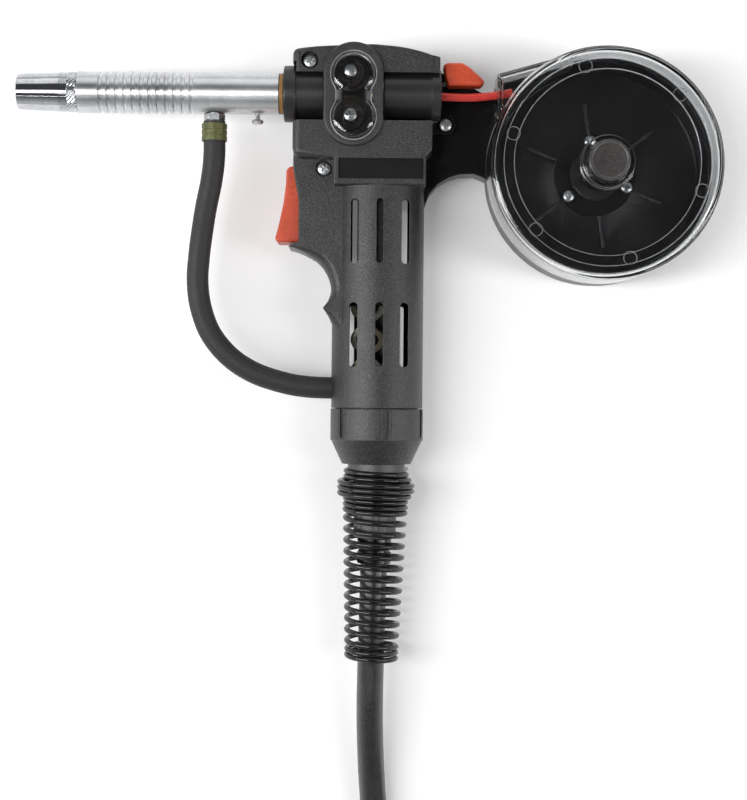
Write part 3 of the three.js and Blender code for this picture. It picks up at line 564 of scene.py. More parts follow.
# The coil's changes of row and column: (angle where it starts, new radius, new height).
COIL_CHANGES = [
    (480, 66, 7.9), (810, 66, 21.3), (1170, 66, 34.7), (1530, 66, 48.1), (1860, 80, 48.1),
    (2190, 80, 34.7), (2550, 80, 21.3), (2730, 95.1, 18.5),
]
COIL_END = 2790
CABLE_TAIL = [(103, -543.5, 17.4), (121, -542, 15.8), (PLUG_X - 1, PLUG_Y, PLUG_Z)]
HOSE = [
    (-81.3, -13.8, 34.1), (-81.3, -30.2, 33.2), (-82.6, -42.4, 32.3), (-85.2, -55.2, 31.4),
    (-87.2, -67.5, 30.5), (-88.8, -80.3, 29.6), (-89.5, -92.7, 28.7), (-87.8, -105.5, 27.8),
    (-82.8, -118.4, 26.9), (-73.3, -129.7, 26), (-60.8, -137.6, 25.1), (-45.9, -142.4, 24.2),
    (-33.4, -144.3, 23.5), (-19.6, -144.7, HANDLE_Z),
]


def coil_line():
    points = []
    for angle in range(180, COIL_END + 1, 15):
        r, z = 80, 7.9
        for start, next_r, next_z in COIL_CHANGES:
            t = min(1, max(0, (angle - start) / 60))
            share = t * t * (3 - 2 * t)
            r += (next_r - r) * share
            z += (next_z - z) * share
        a = radians(angle)
        points.append((COIL_X + r * cos(a), COIL_Y + r * sin(a), z))
    return points


def make_cable():
    data = bpy.data.curves.new("power_cable", "CURVE")
    data.dimensions = "3D"
    data.bevel_depth = CABLE_R / 1000
    data.bevel_resolution = 8
    data.resolution_u = 5
    data.use_fill_caps = True
    points = CABLE_RUN + coil_line() + CABLE_TAIL
    line = data.splines.new("BEZIER")
    line.bezier_points.add(len(points) - 1)
    for knot, point in zip(line.bezier_points, points):
        knot.co = at(*point)
        knot.handle_left_type = knot.handle_right_type = "AUTO"
    data.materials.append(RUBBER)
    cable = new_object("power_cable", data)
    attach(cable, "frame")
    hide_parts("cable_run", "cable_coil", "cable_tail")
    return cable


def make_plug():
    handle = [(0, PLUG_X), (9.5, PLUG_X), (11.5, PLUG_X + 32), (15, PLUG_X + 36)]
    handle += [(15, PLUG_X + 38 + i) for i in range(35)]
    handle += [(15, PLUG_X + 74), (12.5, PLUG_X + 78), (0, PLUG_X + 78)]

    def grip_ribs(angle, along, r):
        if PLUG_X + 38 < along < PLUG_X + 72:
            return -0.7 * max(0, cos(12 * angle)) ** 4
        return 0

    shape = lathe(rounded(handle, 1.5, 4, False), "x", (PLUG_Y, PLUG_Z), 144, grip_ribs)
    body = piece("plug_handle", shape, RUBBER, "plug_body")
    s = PLUG_X + 78.3
    pin_profile = [(0, s), (7.5, s), (7.5, s + 5.7), (6, s + 5.7), (6, s + 12)]
    for groove in (s + 14, s + 20):
        pin_profile += [(6, groove), (5, groove + 0.3), (5, groove + 2), (6, groove + 2.3)]
    pin_profile += [(6, s + 31.7), (4.2, s + 34.7), (0, s + 34.7)]
    shape = lathe(rounded(pin_profile, 0.4, 3, False), "x", (PLUG_Y, PLUG_Z), 96)
    return body, piece("plug_pin", shape, BRASS, "power_pin")


def make_tie():
    outline = rounded([(58.1, 0.2), (87.9, 0.2), (87.9, 55.8), (58.1, 55.8)], 7, 8)
    inner = inset(outline if area(outline) > 0 else outline[::-1], 0.8)
    band = carved([(ADD, prism(outline, -3, 3, (0.2, 0.2), (0.2, 0.2))),
                   (CUT, prism(inner, -5, 5)),
                   (ADD, block(83, 87.9, 38, 44, -4, 4, 0.6))])
    upright = Matrix(((1, 0, 0, 0), (0, 0, 1, 0), (0, 1, 0, 0), (0, 0, 0, 1)))
    spin = Matrix.Rotation(radians(50), 4, "Z")
    band.transform(Matrix.Translation((COIL_X, COIL_Y, 0)) @ spin @ upright)
    band.flip_normals()
    return piece("coil_tie", band, SATIN_BLACK, "cable_tie")


def make_hose():
    path = spline(HOSE, 26)

    def weave(angle, distance):
        return 0.1 * sin(9 * angle + 2.2 * distance) * sin(9 * angle - 2.2 * distance) - 0.1

    hose = piece("gas_hose_braid", tube(path, HOSE_R, 54, weave), BRAID, "gas_hose",
                 sharp=60)
    return hose, [tuple(at(*p)) for p in path]


def make_cords():
    cable = make_cable()
    plug = make_plug()
    tie = make_tie()
    hose, path = make_hose()


# ---- barrel and nozzle ----
GROOVES = [-136.6 + 4.05 * k for k in range(12)]


def make_barrel():
    outside = [(6, -148.2), (10.2, -148.2)]
    for x in GROOVES:
        outside += [(10.2, x - 1.05), (9.05, x - 0.75), (9.05, x + 0.75), (10.2, x + 1.05)]
    outside += [(10.2, -49.3), (6, -49.3)]
    inside = [(6, -34), (4, -34), (4, -136), (6, -136)]
    barrel = carved([(ADD, lathe(rounded(outside + inside, 0.22, 3), "x", FEED, 128)),
                     (CUT, rod("y", 3.2, -12, -3, HOSE_TOP)),
                     (CUT, rod("y", 1.3, -12, -7, (BARREL_SCREW_X, FEED_Z), 32))])
    piece("barrel_tube_turned", barrel, ALUMINIUM, "barrel_tube")
    flange = [(6.3, -49), (10, -49), (10, -47.2), (8.7, -47.2), (8.7, -33.5), (6.3, -33.5)]
    piece("barrel_insulator_ring", lathe(rounded(flange, 0.2, 3), "x", FEED), TAN,
          "barrel_insulator")
    knob = [(0, -15), (2.2, -15), (2.9, -14.4), (2.9, -13.6), (2.2, -12.9), (1.15, -12.6), (1, -12.2),
            (1, -8), (0, -8)]
    slit = block(BARREL_SCREW_X - 0.4, BARREL_SCREW_X + 0.4, -16, -14.4, FEED_Z - 4, FEED_Z + 4)
    knob = lathe(rounded(knob, 0.25, 3, False), "y", (BARREL_SCREW_X, FEED_Z), 64)
    screw = carved([(ADD, knob), (CUT, slit)])
    piece("barrel_thumb_screw", screw, ZINC, "barrel_screw")


def make_nozzle():
    profile = [(7.9, NOZZLE_TIP), (8.5, NOZZLE_TIP), (8.85, NOZZLE_TIP + 0.4), (9.65, -157.1)]
    for k in range(5):
        start = -156.7 + 0.8 * k
        profile += [(9.7, start), (9.45, start + 0.15), (9.45, start + 0.4), (9.7, start + 0.55)]
    profile += [(9.6, -152.6 + 0.25 * k) for k in range(16)]
    profile += [(9.5, -148.5), (7.9, -148.5)]

    def knurl(angle, along, r):
        if -152.7 < along < -148.8 and r > 9:
            return 0.22 * sin(30 * angle + 3.4 * along)
        return 0

    piece("nozzle_cup", lathe(profile, "x", FEED, 352, knurl), CHROME, "nozzle", body="nozzle",
          sharp=50)


# ---- drive housing, rolls and screws ----
def make_drive_housing():
    front = [(9, -46.9), (13.75, -46.9), (13.75, -40.8), (12.4, -40.8), (12.4, -26.6), (2.3, -26.6),
             (2.3, -31), (9, -31)]
    rear = [(3.6, 2.2), (11.8, 2.2), (11.8, 25.5), (12.2, 25.5), (12.2, 30.2), (9.8, 30.2), (9.8, 5),
            (3.6, 5)]
    body = carved([
        (ADD, lathe(rounded(front, [0.2, 0.9, 0.6, 0.2, 0.3, 0.2, 0.2, 0.2]), "x", FEED, 128)),
        (ADD, lathe(rounded(rear, [0.2, 0.3, 0.1, 0.3, 0.6, 0.3, 0.2, 0.2]), "x", FEED, 128)),
        (ADD, prism(stadium(BOSS_X, BOSS_LOW + 0.5, BOSS_HIGH - 0.5, 12.6), 25.4, 27.6, (0.3, 0.3))),
        (ADD, block(-29, 4, -6, 6, 25.4, 27.6)),
        (CUT, rod("z", 3.3, 20, 30, DRIVE_AXIS)),
        (CUT, block(1, 6, -1, 9, 26.6, 30.9)),
        (CUT, rod("z", 1.8, 20, 28, (14, 4), 32)),
        (CUT, rod("y", 6.2, -24, 0, GRIP, 48)),
    ])
    piece("drive_housing_tubes", body, SATIN_BLACK, "drive_housing")


def make_roll(name, node_name, body, r, centre):
    low, high = FEED_Z - 3.5, FEED_Z + 3.5
    profile = [(2.8, low), (r, low), (r, FEED_Z - 0.8), (r - 0.7, FEED_Z), (r, FEED_Z + 0.8), (r, high),
               (7.3, high), (7.3, high + 3.2)]
    radii = [0.2, 0.4, 0, 0, 0, 0.6, 0.2, 0.8]
    for step in range(4):
        r_ring = 6.6 - step
        profile += [(r_ring, high + 3.6), (r_ring - 0.35, high + 3.35), (r_ring - 0.6, high + 3.6)]
        radii += [0.1, 0.15, 0.1]
    profile += [(1.9, high + 3.6), (1.9, high), (2.8, high)]
    radii += [0.2, 0, 0]
    piece(name, lathe(rounded(profile, radii), "z", centre), ROLL_STEEL, node_name, body=body)


def screw_shape(centre, low, seat, height, r, shank, cross=True, turn=20):
    """A pan-head screw standing on its seat, with a cross recess."""
    top = seat + height
    profile = [(0, low), (shank, low), (shank, seat), (r, seat), (r, seat + 0.45 * height),
               (0.86 * r, seat + 0.78 * height), (0.5 * r, top - 0.08 * height), (0, top)]
    steps = [(ADD, lathe(rounded(profile, [0, 0.2, 0, 0.15, 0.3, 0.5, 0.8, 0], 3, False), "z", centre, 64))]
    if cross:
        x, y = centre
        for angle in (turn, turn + 90):
            arm = block(x - 0.52 * r, x + 0.52 * r, y - 0.14 * r, y + 0.14 * r, top - 0.8 * height, top + 1)
            steps.append((CUT, turned_about(arm, "Z", angle, (x, y, 0))))
    return carved(steps)


def make_screw(node_name, shape, body="frame"):
    piece(node_name + "_head", shape, ZINC, node_name, body=body)


def make_rolls_and_screws():
    make_roll("drive_roll_grooved", "drive_roll", "drive_roll", 11, DRIVE_AXIS)
    make_roll("idler_roll_grooved", "idler_roll", "idler_roll", 9.6, IDLER_AXIS)
    for body, centre, cross in (("drive_roll", DRIVE_AXIS, True), ("idler_roll", IDLER_AXIS, False)):
        make_screw(body + "_screw", screw_shape(centre, 36.6, 41.5, 2.1, 3.5, 1.6, cross, 10), body)
    for i, (centre, seat, low) in enumerate(SCREWS):
        shape = screw_shape(centre, low + 1, seat + 0.2, 2, 3.5, 1.5, True, 25 + 30 * i)
        make_screw(f"housing_screw_{i + 1}", shape)
    for i in range(3):
        angle = radians(99 + 120 * i)
        centre = (CAN_X + HUB_SCREW_R * cos(angle), CAN_Y + HUB_SCREW_R * sin(angle))
        make_screw(f"hub_screw_{i + 1}", screw_shape(centre, 5.2, 7.7, 1.9, 3, 1.4, True, 40 * i))


# ---- trigger and pressure lever ----
def make_trigger():
    low, high = HANDLE_Z - TRIGGER_HALF, HANDLE_Z + TRIGGER_HALF
    outline = [
        (-45.7, -37), (-44.2, -35.6), (-40, -34.6), (-33.4, -36), (-32.6, -44), (-33.8, -60), (-35.4, -72.3),
        (-39.9, -72.6), (-50, -72.8), (-51.1, -71.1), (-49.6, -65.6), (-47, -53.6), (-45.9, -44.4),
    ]
    radii = [1.2, 1.5, 2, 1, 4, 4, 0.8, 0.5, 1.2, 1.5, 8, 12, 12]
    body = carved([
        (ADD, prism(rounded(outline, radii), low, high, (1.1, 1.1), (1.1, 1.1), 5)),
        (CUT, block(-36.6, -30, -68, -46, low + 2.5, high - 2.5)),
        (CUT, block(-40, -30, -44, -34, HANDLE_Z - 4, HANDLE_Z + 4)),
        (CUT, rod("z", 1.8, 0, 50, TRIGGER_PIVOT, 32)),
    ])
    piece("trigger_lever", body, RED, "trigger", body="trigger")


def make_pressure_lever():
    outline = [(31.4, 14.7), (33.2, 15.9), (40.7, 15.9), (43.8, 14.2), (47.8, 10.7), (51.4, 7.4), (51.6, 6),
               (49.8, 4.6), (33.7, 4.6), (32.2, 9.4)]
    body = carved([
        (ADD, prism(rounded(outline, 1.4), 26.3, 36.5, (1.6, 1.6), (1, 1), 5)),
        (CUT, block(30, 42.5, 5.3, 8.9, 27.6, 30.6)),
        (CUT, rod("z", 1.3, 20, 34, (37, 7.1), 32)),
    ])
    piece("pressure_lever_grip", body, RED, "pressure_lever", body="pressure_arm")


# ---- housing shells ----
# The web's outline in front of the grip: (x, y, how far the edge is rolled over).
WEB_FRONT = [(-42.2, -28.8, 0.8), (-42.2, -36.6, 0.8), (-41.2, -42.5, 0.8), (-39.4, -52.8, 0.8),
             (-39.3, -72.8, 0.3)]
WEB_CURVE = [
    (-44.3, -75.1, 0.3), (-39.6, -76.7, 1.5), (-35.5, -78.7, 3), (-29.9, -82.3, 4.8), (-26.2, -86.9, 5.2),
    (-23.8, -92.5, 5), (-23.3, -97.1, 4.6), (-24.6, -101.7, 2.6), (-27, -105.4, 0.5),
]
WEB_RIDGE = [(-27, -105.4, 0.5), (-25.1, -108.2, 2.4), (-23.2, -111.9, 4.2), (-21, -116.5, 5),
             (-14, -128, 1)]
WEB_BACK = [(-10, -128, 0.5), (-10, -28.8, 0.5)]
WEB_ROOM = [(-41, -33.4), (-39, -40), (-36.4, -53), (-36.3, -73.6), (-28, -77.4), (-18, -77.4), (-18, -33.4)]
TRIGGER_MOUTH = [(-52, -33.4), (-30, -33.4), (-30, -74.2), (-39.2, -73.3), (-44.5, -75.2), (-52, -76)]
# Rows of vent slots: (low end, high end, [(x, half width)]).
NEAR_SLOTS = [(-83.8, -52.2, [(-11.6, 1.9), (0.8, 1.7), (13.3, 1.9)]),
              (-134.4, -102.8, [(-11.9, 2), (0.8, 2), (13, 2)])]
FAR_SLOTS = [(-83.8, -48.2, [(-11.8, 1.3), (13.3, 1.5)]),
             (-134.4, -102.8, [(-13, 1.1), (12, 1.3)])]
NOTCH_LOW, NOTCH_HIGH = -14.5, 9


def head_outline(i=0):
    """The head seen from above, moved inwards by i."""
    back = [(29.5 - i, 16.7 - i), (29.5 - i, -12.5 + i / 2), (25.9 - i, -14.4 + i / 2),
            (25.8 - i, -28.7 + i / 2), (23 - i, -31.8 + i / 2), (23 - i, -45.8 + i), (-22 + i, -45.8 + i),
            (-22 + i, -32.6 + i), (-42.3 + i, -32.6 + i), (-42.3 + i, 20.6 - i)]
    top = spline([(-34.9, 21.1 - i, 0), (-21.2, 21.9 - i, 0), (-5.7, 22.6 - i, 0), (2.4, 22.2 - i, 0),
                  (11.7, 21.2 - i, 0), (19.8, 19.4 - i, 0), (25.4 - i, 17.6 - i, 0)], 4)
    radii = [1, 1, 1.5, 2, 1.5, 1.2, 1.2, 1.2, 5.5, 8]
    return rounded(back + [tuple(p[:2]) for p in top], radii + [0] * len(top), 9)


def head_rolls(outline, widest=3.6, narrowest=1):
    """How far the head's edge is rolled over at each corner: widest on the left."""
    rolls = []
    for x, y in outline:
        t = min(1, max(0, (-24 - x) / 14)) if y < 12 else min(1, max(0, (-30 - x) / 10))
        rolls.append(narrowest + (widest - narrowest) * t * t * (3 - 2 * t))
    return rolls


def web_shape():
    line = [Vector(p) for p in WEB_FRONT] + spline(WEB_CURVE, 5)
    line += spline(WEB_RIDGE, 5)[1:] + [Vector(p) for p in WEB_BACK]
    widths = [p.z for p in line]
    return prism(line, HANDLE_Z - WEB_HALF, HANDLE_Z + WEB_HALF, (widths, 1.7), (widths, 1.7), 6)


def grip_unions():
    return [
        (ADD, rod("y", GRIP_R, GRIP_END, -40, GRIP, 160, 0.5)),
        (ADD, rod("y", 20.8, GRIP_END - 9, GRIP_END + 2, GRIP, 128, 0.4)),
        (ADD, web_shape()),
    ]


def grip_rooms():
    reach = WEB_HALF - 3.4
    mouth = TRIGGER_HALF + GAP
    return [
        (CUT, rod("y", GRIP_BORE, GRIP_END + 1, -30, GRIP, 128)),
        (CUT, rod("y", 18, GRIP_END - 10, GRIP_END + 2, GRIP, 128)),
        (CUT, prism(WEB_ROOM, HANDLE_Z - reach, HANDLE_Z + reach)),
        (CUT, prism(TRIGGER_MOUTH, HANDLE_Z - mouth, HANDLE_Z + mouth)),
        (CUT, rod("x", HOSE_R + 0.4, -26, -15, (-144.7, HANDLE_Z))),
        (CUT, rod("z", 1.8, HANDLE_Z - 12.5, HANDLE_Z + 12.5, TRIGGER_PIVOT, 32)),
    ]


def slot_cuts(rows):
    return [(CUT, prism(stadium(x, low + r, high - r, r, 16), -5, 60))
            for low, high, places in rows for x, r in places]


def feed_cuts():
    """Room for the feed tubes: the head is open over them, and its upper part overhangs them."""
    front, rear = FRONT_TUBE_R + GAP, REAR_TUBE_R + GAP
    return [(CUT, shape) for shape in (
        block(-46, -40.5, -14.6, 14.1, HANDLE_Z, 60),
        block(-41, -27.4, -front, front, HANDLE_Z, FEED_Z),
        block(-41, -27.4, NOTCH_LOW, NOTCH_HIGH, FEED_Z, 60),
        block(1.8, 26, -rear, rear, HANDLE_Z, FEED_Z),
        block(1.8, 31, NOTCH_LOW, NOTCH_HIGH, FEED_Z, 60),
        block(25.2, 31, -12.6, 12.6, HANDLE_Z, FEED_Z),
        rod("x", front, -41.5, -20, FEED, 128),
        rod("x", 14.05, -50, -40.5, FEED, 128),
        rod("x", rear, 0, 26, FEED, 128),
        rod("x", 12.5, 25.2, 32, FEED, 128),
    )]


def figure_eight(r, waist, steps=26, across=8):
    """The outline of two lobes with a straight waist, softened where they meet."""
    rise = sqrt(r * r - waist * waist)
    tilt = asin(rise / r)
    angles = [-tilt + (pi + 2 * tilt) * k / steps for k in range(steps + 1)]
    top, low = WIN_TOP - rise, WIN_LOW + rise
    points = [(WIN_X + r * cos(a), WIN_TOP + r * sin(a)) for a in angles]
    points += [(WIN_X - waist, top + (low - top) * k / across) for k in range(1, across)]
    points += [(WIN_X - r * cos(a), WIN_LOW - r * sin(a)) for a in angles]
    points += [(WIN_X + waist, low + (top - low) * k / across) for k in range(1, across)]
    for _ in range(3):
        ahead, back = points[1:] + points[:1], points[-1:] + points[:-1]
        points = [((a[0] + 2 * p[0] + b[0]) / 4, (a[1] + 2 * p[1] + b[1]) / 4)
                  for a, p, b in zip(back, points, ahead)]
    return points


def left_head():
    """The head with its boss over the rolls, its ear at the back and the label's recess."""
    label = rounded([(-19.7, -42.9), (21.8, -42.9), (21.8, -32.8), (-19.7, -32.8)], 0.5)
    rolls = (head_rolls(head_outline()), 0.9)
    boss = stadium(BOSS_X, BOSS_LOW, BOSS_HIGH, BOSS_R, 40)
    return [
        (ADD, prism(head_outline(), HANDLE_Z - 5, HEAD_Z, rolls, steps=8)),
        (ADD, prism(boss, HANDLE_Z - 5, BOSS_Z, (1.3, 1.3), steps=5)),
        (ADD, prism(stadium(33, -13.5, -13.3, 5.2), HANDLE_Z, 27.6, (0.8, 0.8))),
        (ADD, block(22, 33, -18.2, -8.6, HANDLE_Z, 27.4, 0.8)),
        (CUT, block(25.6, 32, -30, 30, HEAD_Z - 0.9, 60)),
        (CUT, prism(head_outline(3), HANDLE_Z - 6, HEAD_Z - 3)),
        (CUT, prism(label, HEAD_Z - 1.2, 60)),
    ]


def make_left_shell():
    roll_room = (CUT, prism(stadium(BOSS_X, BOSS_LOW, BOSS_HIGH, BOSS_R - 1.5, 40), 0, BOSS_Z - 3.5))
    steps = grip_unions() + left_head()
    steps += [roll_room, (CUT, prism(figure_eight(WIN_R, WIN_WAIST), 40, 60))] + grip_rooms()
    steps += [(ADD, rod("z", 4.3, HANDLE_Z, seat, centre, 48)) for centre, seat, _ in SCREWS[:2]]
    steps += feed_cuts() + [roll_room]
    for centre, seat, low in SCREWS:
        steps += [(CUT, rod("z", 1.8, low, 60, centre, 32)), (CUT, rod("z", 4.3, seat, 60, centre, 48))]
    steps += slot_cuts(NEAR_SLOTS) + [(KEEP, block(-80, 80, -200, 60, HANDLE_Z + GAP / 2, 80))]
    shell = piece("left_shell_moulding", carved(steps), HOUSING, "left_shell", sharp=28)
    shell.data.materials.append(LABEL_BLACK)
    recess_low, recess_high = at(-20, -43.2, HEAD_Z - 1.4), at(22.1, -32.5, HEAD_Z - 1.0)
    ear = at(26.2, 0, 28)
    # The recess floor takes the smooth label black. The low ear and its bridge behind the head take it too:
    # partly for their smoother black, partly as painted shade where they sit low.
    for face in shell.data.polygons:
        middle = face.center
        in_recess = all(low < value < high for low, value, high in zip(recess_low, middle, recess_high))
        if in_recess or (middle.x > ear.x and middle.z < ear.z):
            face.material_index = 1


def make_right_shell():
    arm = [
        (20, 14), (30, 14), (40, 9.5), (51.4, 3.6), (58, 0), (75, -20), (58, -45), (52.7, -39),
        (47.5, -37), (40.3, -37.3), (34.8, -39.1), (29.5, -42.4), (25.2, -47.6), (22.6, -55), (18, -55),
    ]
    arm_room = [(27, 6), (39, 5.6), (50, 0), (50, -31), (37.5, -33.4), (30.4, -37), (27, -40)]
    steps = grip_unions() + [
        (ADD, prism(head_outline(), 0, HANDLE_Z, (0, 0), (2.6, 2.6), 6)),
        (ADD, prism(rounded(arm, 3), 6, HANDLE_Z, (0.8, 0.8), (1.2, 1.2))),
        (CUT, prism(head_outline(3), 3, HANDLE_Z + 2)),
        (CUT, prism(arm_room, 0, HANDLE_Z - 3)),
    ]
    steps += grip_rooms() + [(ADD, rod("z", 6, 1, 12, DRIVE_AXIS))]
    steps += [(ADD, rod("z", 4.3, low - 6.5, HANDLE_Z, centre, 48)) for centre, _, low in SCREWS]
    steps += feed_cuts() + [(CUT, rod("z", 3.3, 5.8, 20, DRIVE_AXIS, 48))]
    steps += [(CUT, rod("z", 1.8, low, 60, centre, 32)) for centre, _, low in SCREWS]
    steps += slot_cuts(FAR_SLOTS) + [(CUT, rod("z", CAN_R + GAP, -5, 60, CAN, 160)),
                                     (KEEP, block(-80, 110, -200, 60, -1, HANDLE_Z - GAP / 2))]
    # The far shell is a darker, glossier black than the near one: partly its gloss, partly painted shade for
    # the far half lying low in shadow.
    piece("right_shell_moulding", carved(steps), GLOSS_BLACK, "right_shell", sharp=28)


# ---- clear window over the rolls ----
def dome(lobe, waist, roll, foot, count):
    """The window's bulge as levels of (lobe, waist, height), from its crown down to its foot."""
    levels = []
    for k in range(count + 1):
        t = pi / 2 * k / count
        share = 1 - sin(t)
        levels.append((lobe - roll[0] * share, waist - roll[1] * share, foot + WIN_BULGE * cos(t)))
    return levels


def make_window():
    flange = (WIN_R - GAP, WIN_WAIST - GAP)
    levels = [(6, 3.6, WIN_CROWN - 1)] + dome(10.2, 6.6, (2.6, 2.2), WIN_FOOT - 1, 16)
    levels += [(10.2, 6.6, WIN_BASE), (*flange, WIN_BASE), (*flange, WIN_FOOT), (11.0, 7.3, WIN_FOOT)]
    levels += dome(10.9, 7.2, (3.2, 2.8), WIN_FOOT, 24)[::-1] + [(6, 3.6, WIN_CROWN)]
    rings = [[(x, y, z) for x, y in figure_eight(r, waist, 160, 24)] for r, waist, z in levels]
    piece("roll_window_dome", stacked(rings), CLEAR_WINDOW, "drive_window",
          body="drive_window", sharp=40)
    # The bead round the flange and the ribs at the waist are pale grey: painted highlights on the window's
    # rim and ridges.
    bead = [(x, y, WIN_FOOT + 0.15) for x, y in figure_eight(flange[0] - 0.35, flange[1] - 0.35, 48, 12)]
    edges = [tube(bead + bead[:1], 0.36, 12)]
    for side in (-1, 1):
        for k in range(5):
            x = WIN_X + side * (6.6 + 0.55 * k)
            edges.append(block(x - 0.14, x + 0.14, -5.5, -0.4, WIN_FOOT - 0.2, WIN_FOOT + 0.55, 0.1))
    for k, shape in enumerate(edges):
        piece(f"roll_window_highlight_{k}", shape, CLEAR_HIGHLIGHT, body="drive_window")


# ---- spool canister ----
def spout_shape(inward, z0, z1, edge=0):
    """The canister's spout, overlapping its round wall; every side is moved inwards."""
    r = CAN_R - inward
    left, low = SPOUT_LEFT + inward, SPOUT_LOW + inward
    touch = (CAN_X - r * sin(SPOUT_SLOPE), CAN_Y + r * cos(SPOUT_SLOPE))
    top = touch[1] - (touch[0] - left) * tan(SPOUT_SLOPE)
    corners = [(left, low), (CAN_X - 30, -30), touch, (left, top)]
    return prism(rounded(corners, [1.2, 0, 0, 1.2]), z0, z1, (edge, edge))


def make_canister_base():
    wall = [(0, 0), (55.9, 0), (55.9, CAN_SPLIT), (0, CAN_SPLIT)]
    room = [(0, 2.5), (53.4, 2.5), (53.4, 60), (0, 60)]
    boss = [(14, 2), (33, 2), (20, 4.6), (14, 4.6)]
    tray = carved([
        (ADD, lathe(rounded(wall, [0, 2, 0.4, 0], 5, False), "z", CAN, 192)),
        (ADD, spout_shape(0.6, 12, CAN_SPLIT, 0.4)),
        (CUT, lathe(rounded(room, [0, 1.5, 0, 0], 5, False), "z", CAN, 192)),
        (CUT, spout_shape(3.1, 15, 60)),
        (ADD, ring("z", 51.8, 54, 20, CAN_LIP, CAN, 0.5, 192)),
        (CUT, spout_shape(2.2, 25, 60)),
        (ADD, lathe(rounded(boss, [0, 0, 6, 0.3], 6), "z", CAN, 128)),
    ])
    piece("canister_tray", tray, TRAY_BLACK, "canister_base", sharp=30)
    for i in range(6):
        rib = block(CAN_X + 19, CAN_X + 37, CAN_Y - 0.8, CAN_Y + 0.8, 2.4, 4.9, 0.4)
        piece(f"canister_rib_{i + 1}", turned_about(rib, "Z", 38 + 60 * i, (*CAN, 0)), RIB_GREY)


def cover_shape():
    low = CAN_SPLIT + GAP
    outside = [(0, low), (CAN_R, low), (CAN_R, CAN_TOP), (50, CAN_TOP), (50, 55.2), (45, 55.2), (45, 54.4),
               (12.8, 54.4), (12.8, 58.5), (10.4, 58.5), (10.4, 54.2), (0, 54.2)]
    radii = [0, 0.3, 3.4, 0.3, 0.2, 0.3, 0.2, 1.2, 0.9, 0.6, 0.2, 0]
    room = [(0, 20), (54.3, 20), (54.3, 52.2), (0, 52.2)]
    return carved([
        (ADD, lathe(rounded(outside, radii, 8, False), "z", CAN, 256)),
        (ADD, spout_shape(0, low, 46, 1.5)),
        (CUT, lathe(rounded(room, [0, 0, 1.6, 0], 8, False), "z", CAN, 256)),
        (CUT, spout_shape(2.2, 20, 44, 0.8)),
        (CUT, rod("z", 3, 40, 70, CAN, 48)),
        (CUT, block(52.4, 62.4, -2.6, 3.6, 20, FEED_Z + 2.6)),
    ])


def make_canister_cover():
    piece("canister_clear_cover", cover_shape(), CLEAR, "canister_cover",
          body="canister_cover", sharp=30)
    # Thin grey rings at the cover's two steps and round its six circular marks are painted highlight lines.
    edges = [ring("z", 49.85, 50.1, 55.7, CAN_TOP, CAN, 0.1, 256),
             ring("z", 44.85, 45.1, 55, 55.25, CAN, 0.1, 256)]
    for i in range(6):
        angle = radians(43.6 + 60 * i)
        spot = (CAN_X + 47.4 * cos(angle), CAN_Y + 47.4 * sin(angle))
        edges.append(ring("z", 3.05, 3.35, 55.1, 55.45, spot, 0.1, 64))
    for i, shape in enumerate(edges):
        piece(f"canister_cover_highlight_{i + 1}", shape, CLEAR_HIGHLIGHT, body="canister_cover")


def make_knob():
    profile = [(0, 38), (2.4, 38), (2.4, 54.6), (9.9, 54.6), (9.9, 63), (8.7, 63), (8.4, 62.75), (0, 62.75)]
    shape = lathe(rounded(profile, [0, 0.3, 0.2, 0.4, 0.8, 0.2, 0.2, 0], 5, False), "z", CAN, 128)
    piece("canister_knob_cap", shape, KNOB, "canister_knob", body="canister_knob")


# ---- wire conduit, hose ends and motor leads ----
def make_lines():
    conduit = [(11, 0), (24, -0.2), (31.1, -0.7), (44.8, -1), (59.3, 0.4), (65.4, 1.6)]
    path = spline([(x, y, FEED_Z) for x, y in conduit], 12)
    piece("wire_conduit_tube", tube(path, 2, 32), RED_TUBE, "wire_conduit")

    corners = [(5.3 * cos(radians(60 * k)), 5.3 * sin(radians(60 * k))) for k in range(6)]
    points, faces = prism(rounded(corners, 0.5, 3), -13.5, -10.3, (0.5, 0.4), (0.5, 0.4))
    fitting = carved([(ADD, (placed(points, "y", HOSE_TOP), faces)),
                      (ADD, rod("y", 2.9, -11, -5, HOSE_TOP, 48)),
                      (ADD, rod("y", 4.2, -13.7, -12, HOSE_TOP, 48))])
    piece("hose_fitting_nut", fitting, ZINC, "hose_fitting")
    crimp = [(HOSE_R + 0.3, -23.6), (6.3, -23.6)]
    for y in (-21.2, -18.4):
        crimp += [(6.3, y), (6.05, y + 0.3), (6.05, y + 0.9), (6.3, y + 1.2)]
    crimp += [(6.3, -15.1), (HOSE_R + 0.3, -15.1)]
    piece("hose_crimp", lathe(rounded(crimp, 0.2, 3), "y", (HOSE_X, FEED_Z - 0.25)), OLIVE,
          "hose_ferrule")
    for i, (material, slot) in enumerate(((LEAD_WHITE, "grey_plastic"), (LEAD_TAN, "insulator"))):
        make_motor_lead(f"motor_lead_{i + 1}", pi * i, material)


def make_motor_lead(name, start, material):
    """One of the two twisted wires to the motor, as a helix down the grip."""
    path = []
    for k in range(113):
        angle = start + k * 0.75 / 8
        path.append((7 * cos(angle) - 5, -104.7 - 3.8 * k / 8, HANDLE_Z + 4 + 7 * sin(angle)))
    piece(name + "_wire", tube(path, 1.4, 16), material, name)


# ---- strain relief ----
# The spring from its free end up: (turns, pitch, first radius, last radius).
COILS = [(2, 2.9, 12.3, 12.3), (12, 5.6, 12.4, 14.9), (3, 2.75, 15.1, 15.1), (3, 2.75, 18.1, 18.1),
         (2, 2.75, 15.1, 15.1)]


def lean(shape):
    pivot = (0, RELIEF_Y, HANDLE_Z)
    return turned_about(turned_about(shape, "X", LEAN_Z, pivot), "Z", LEAN_X, pivot)


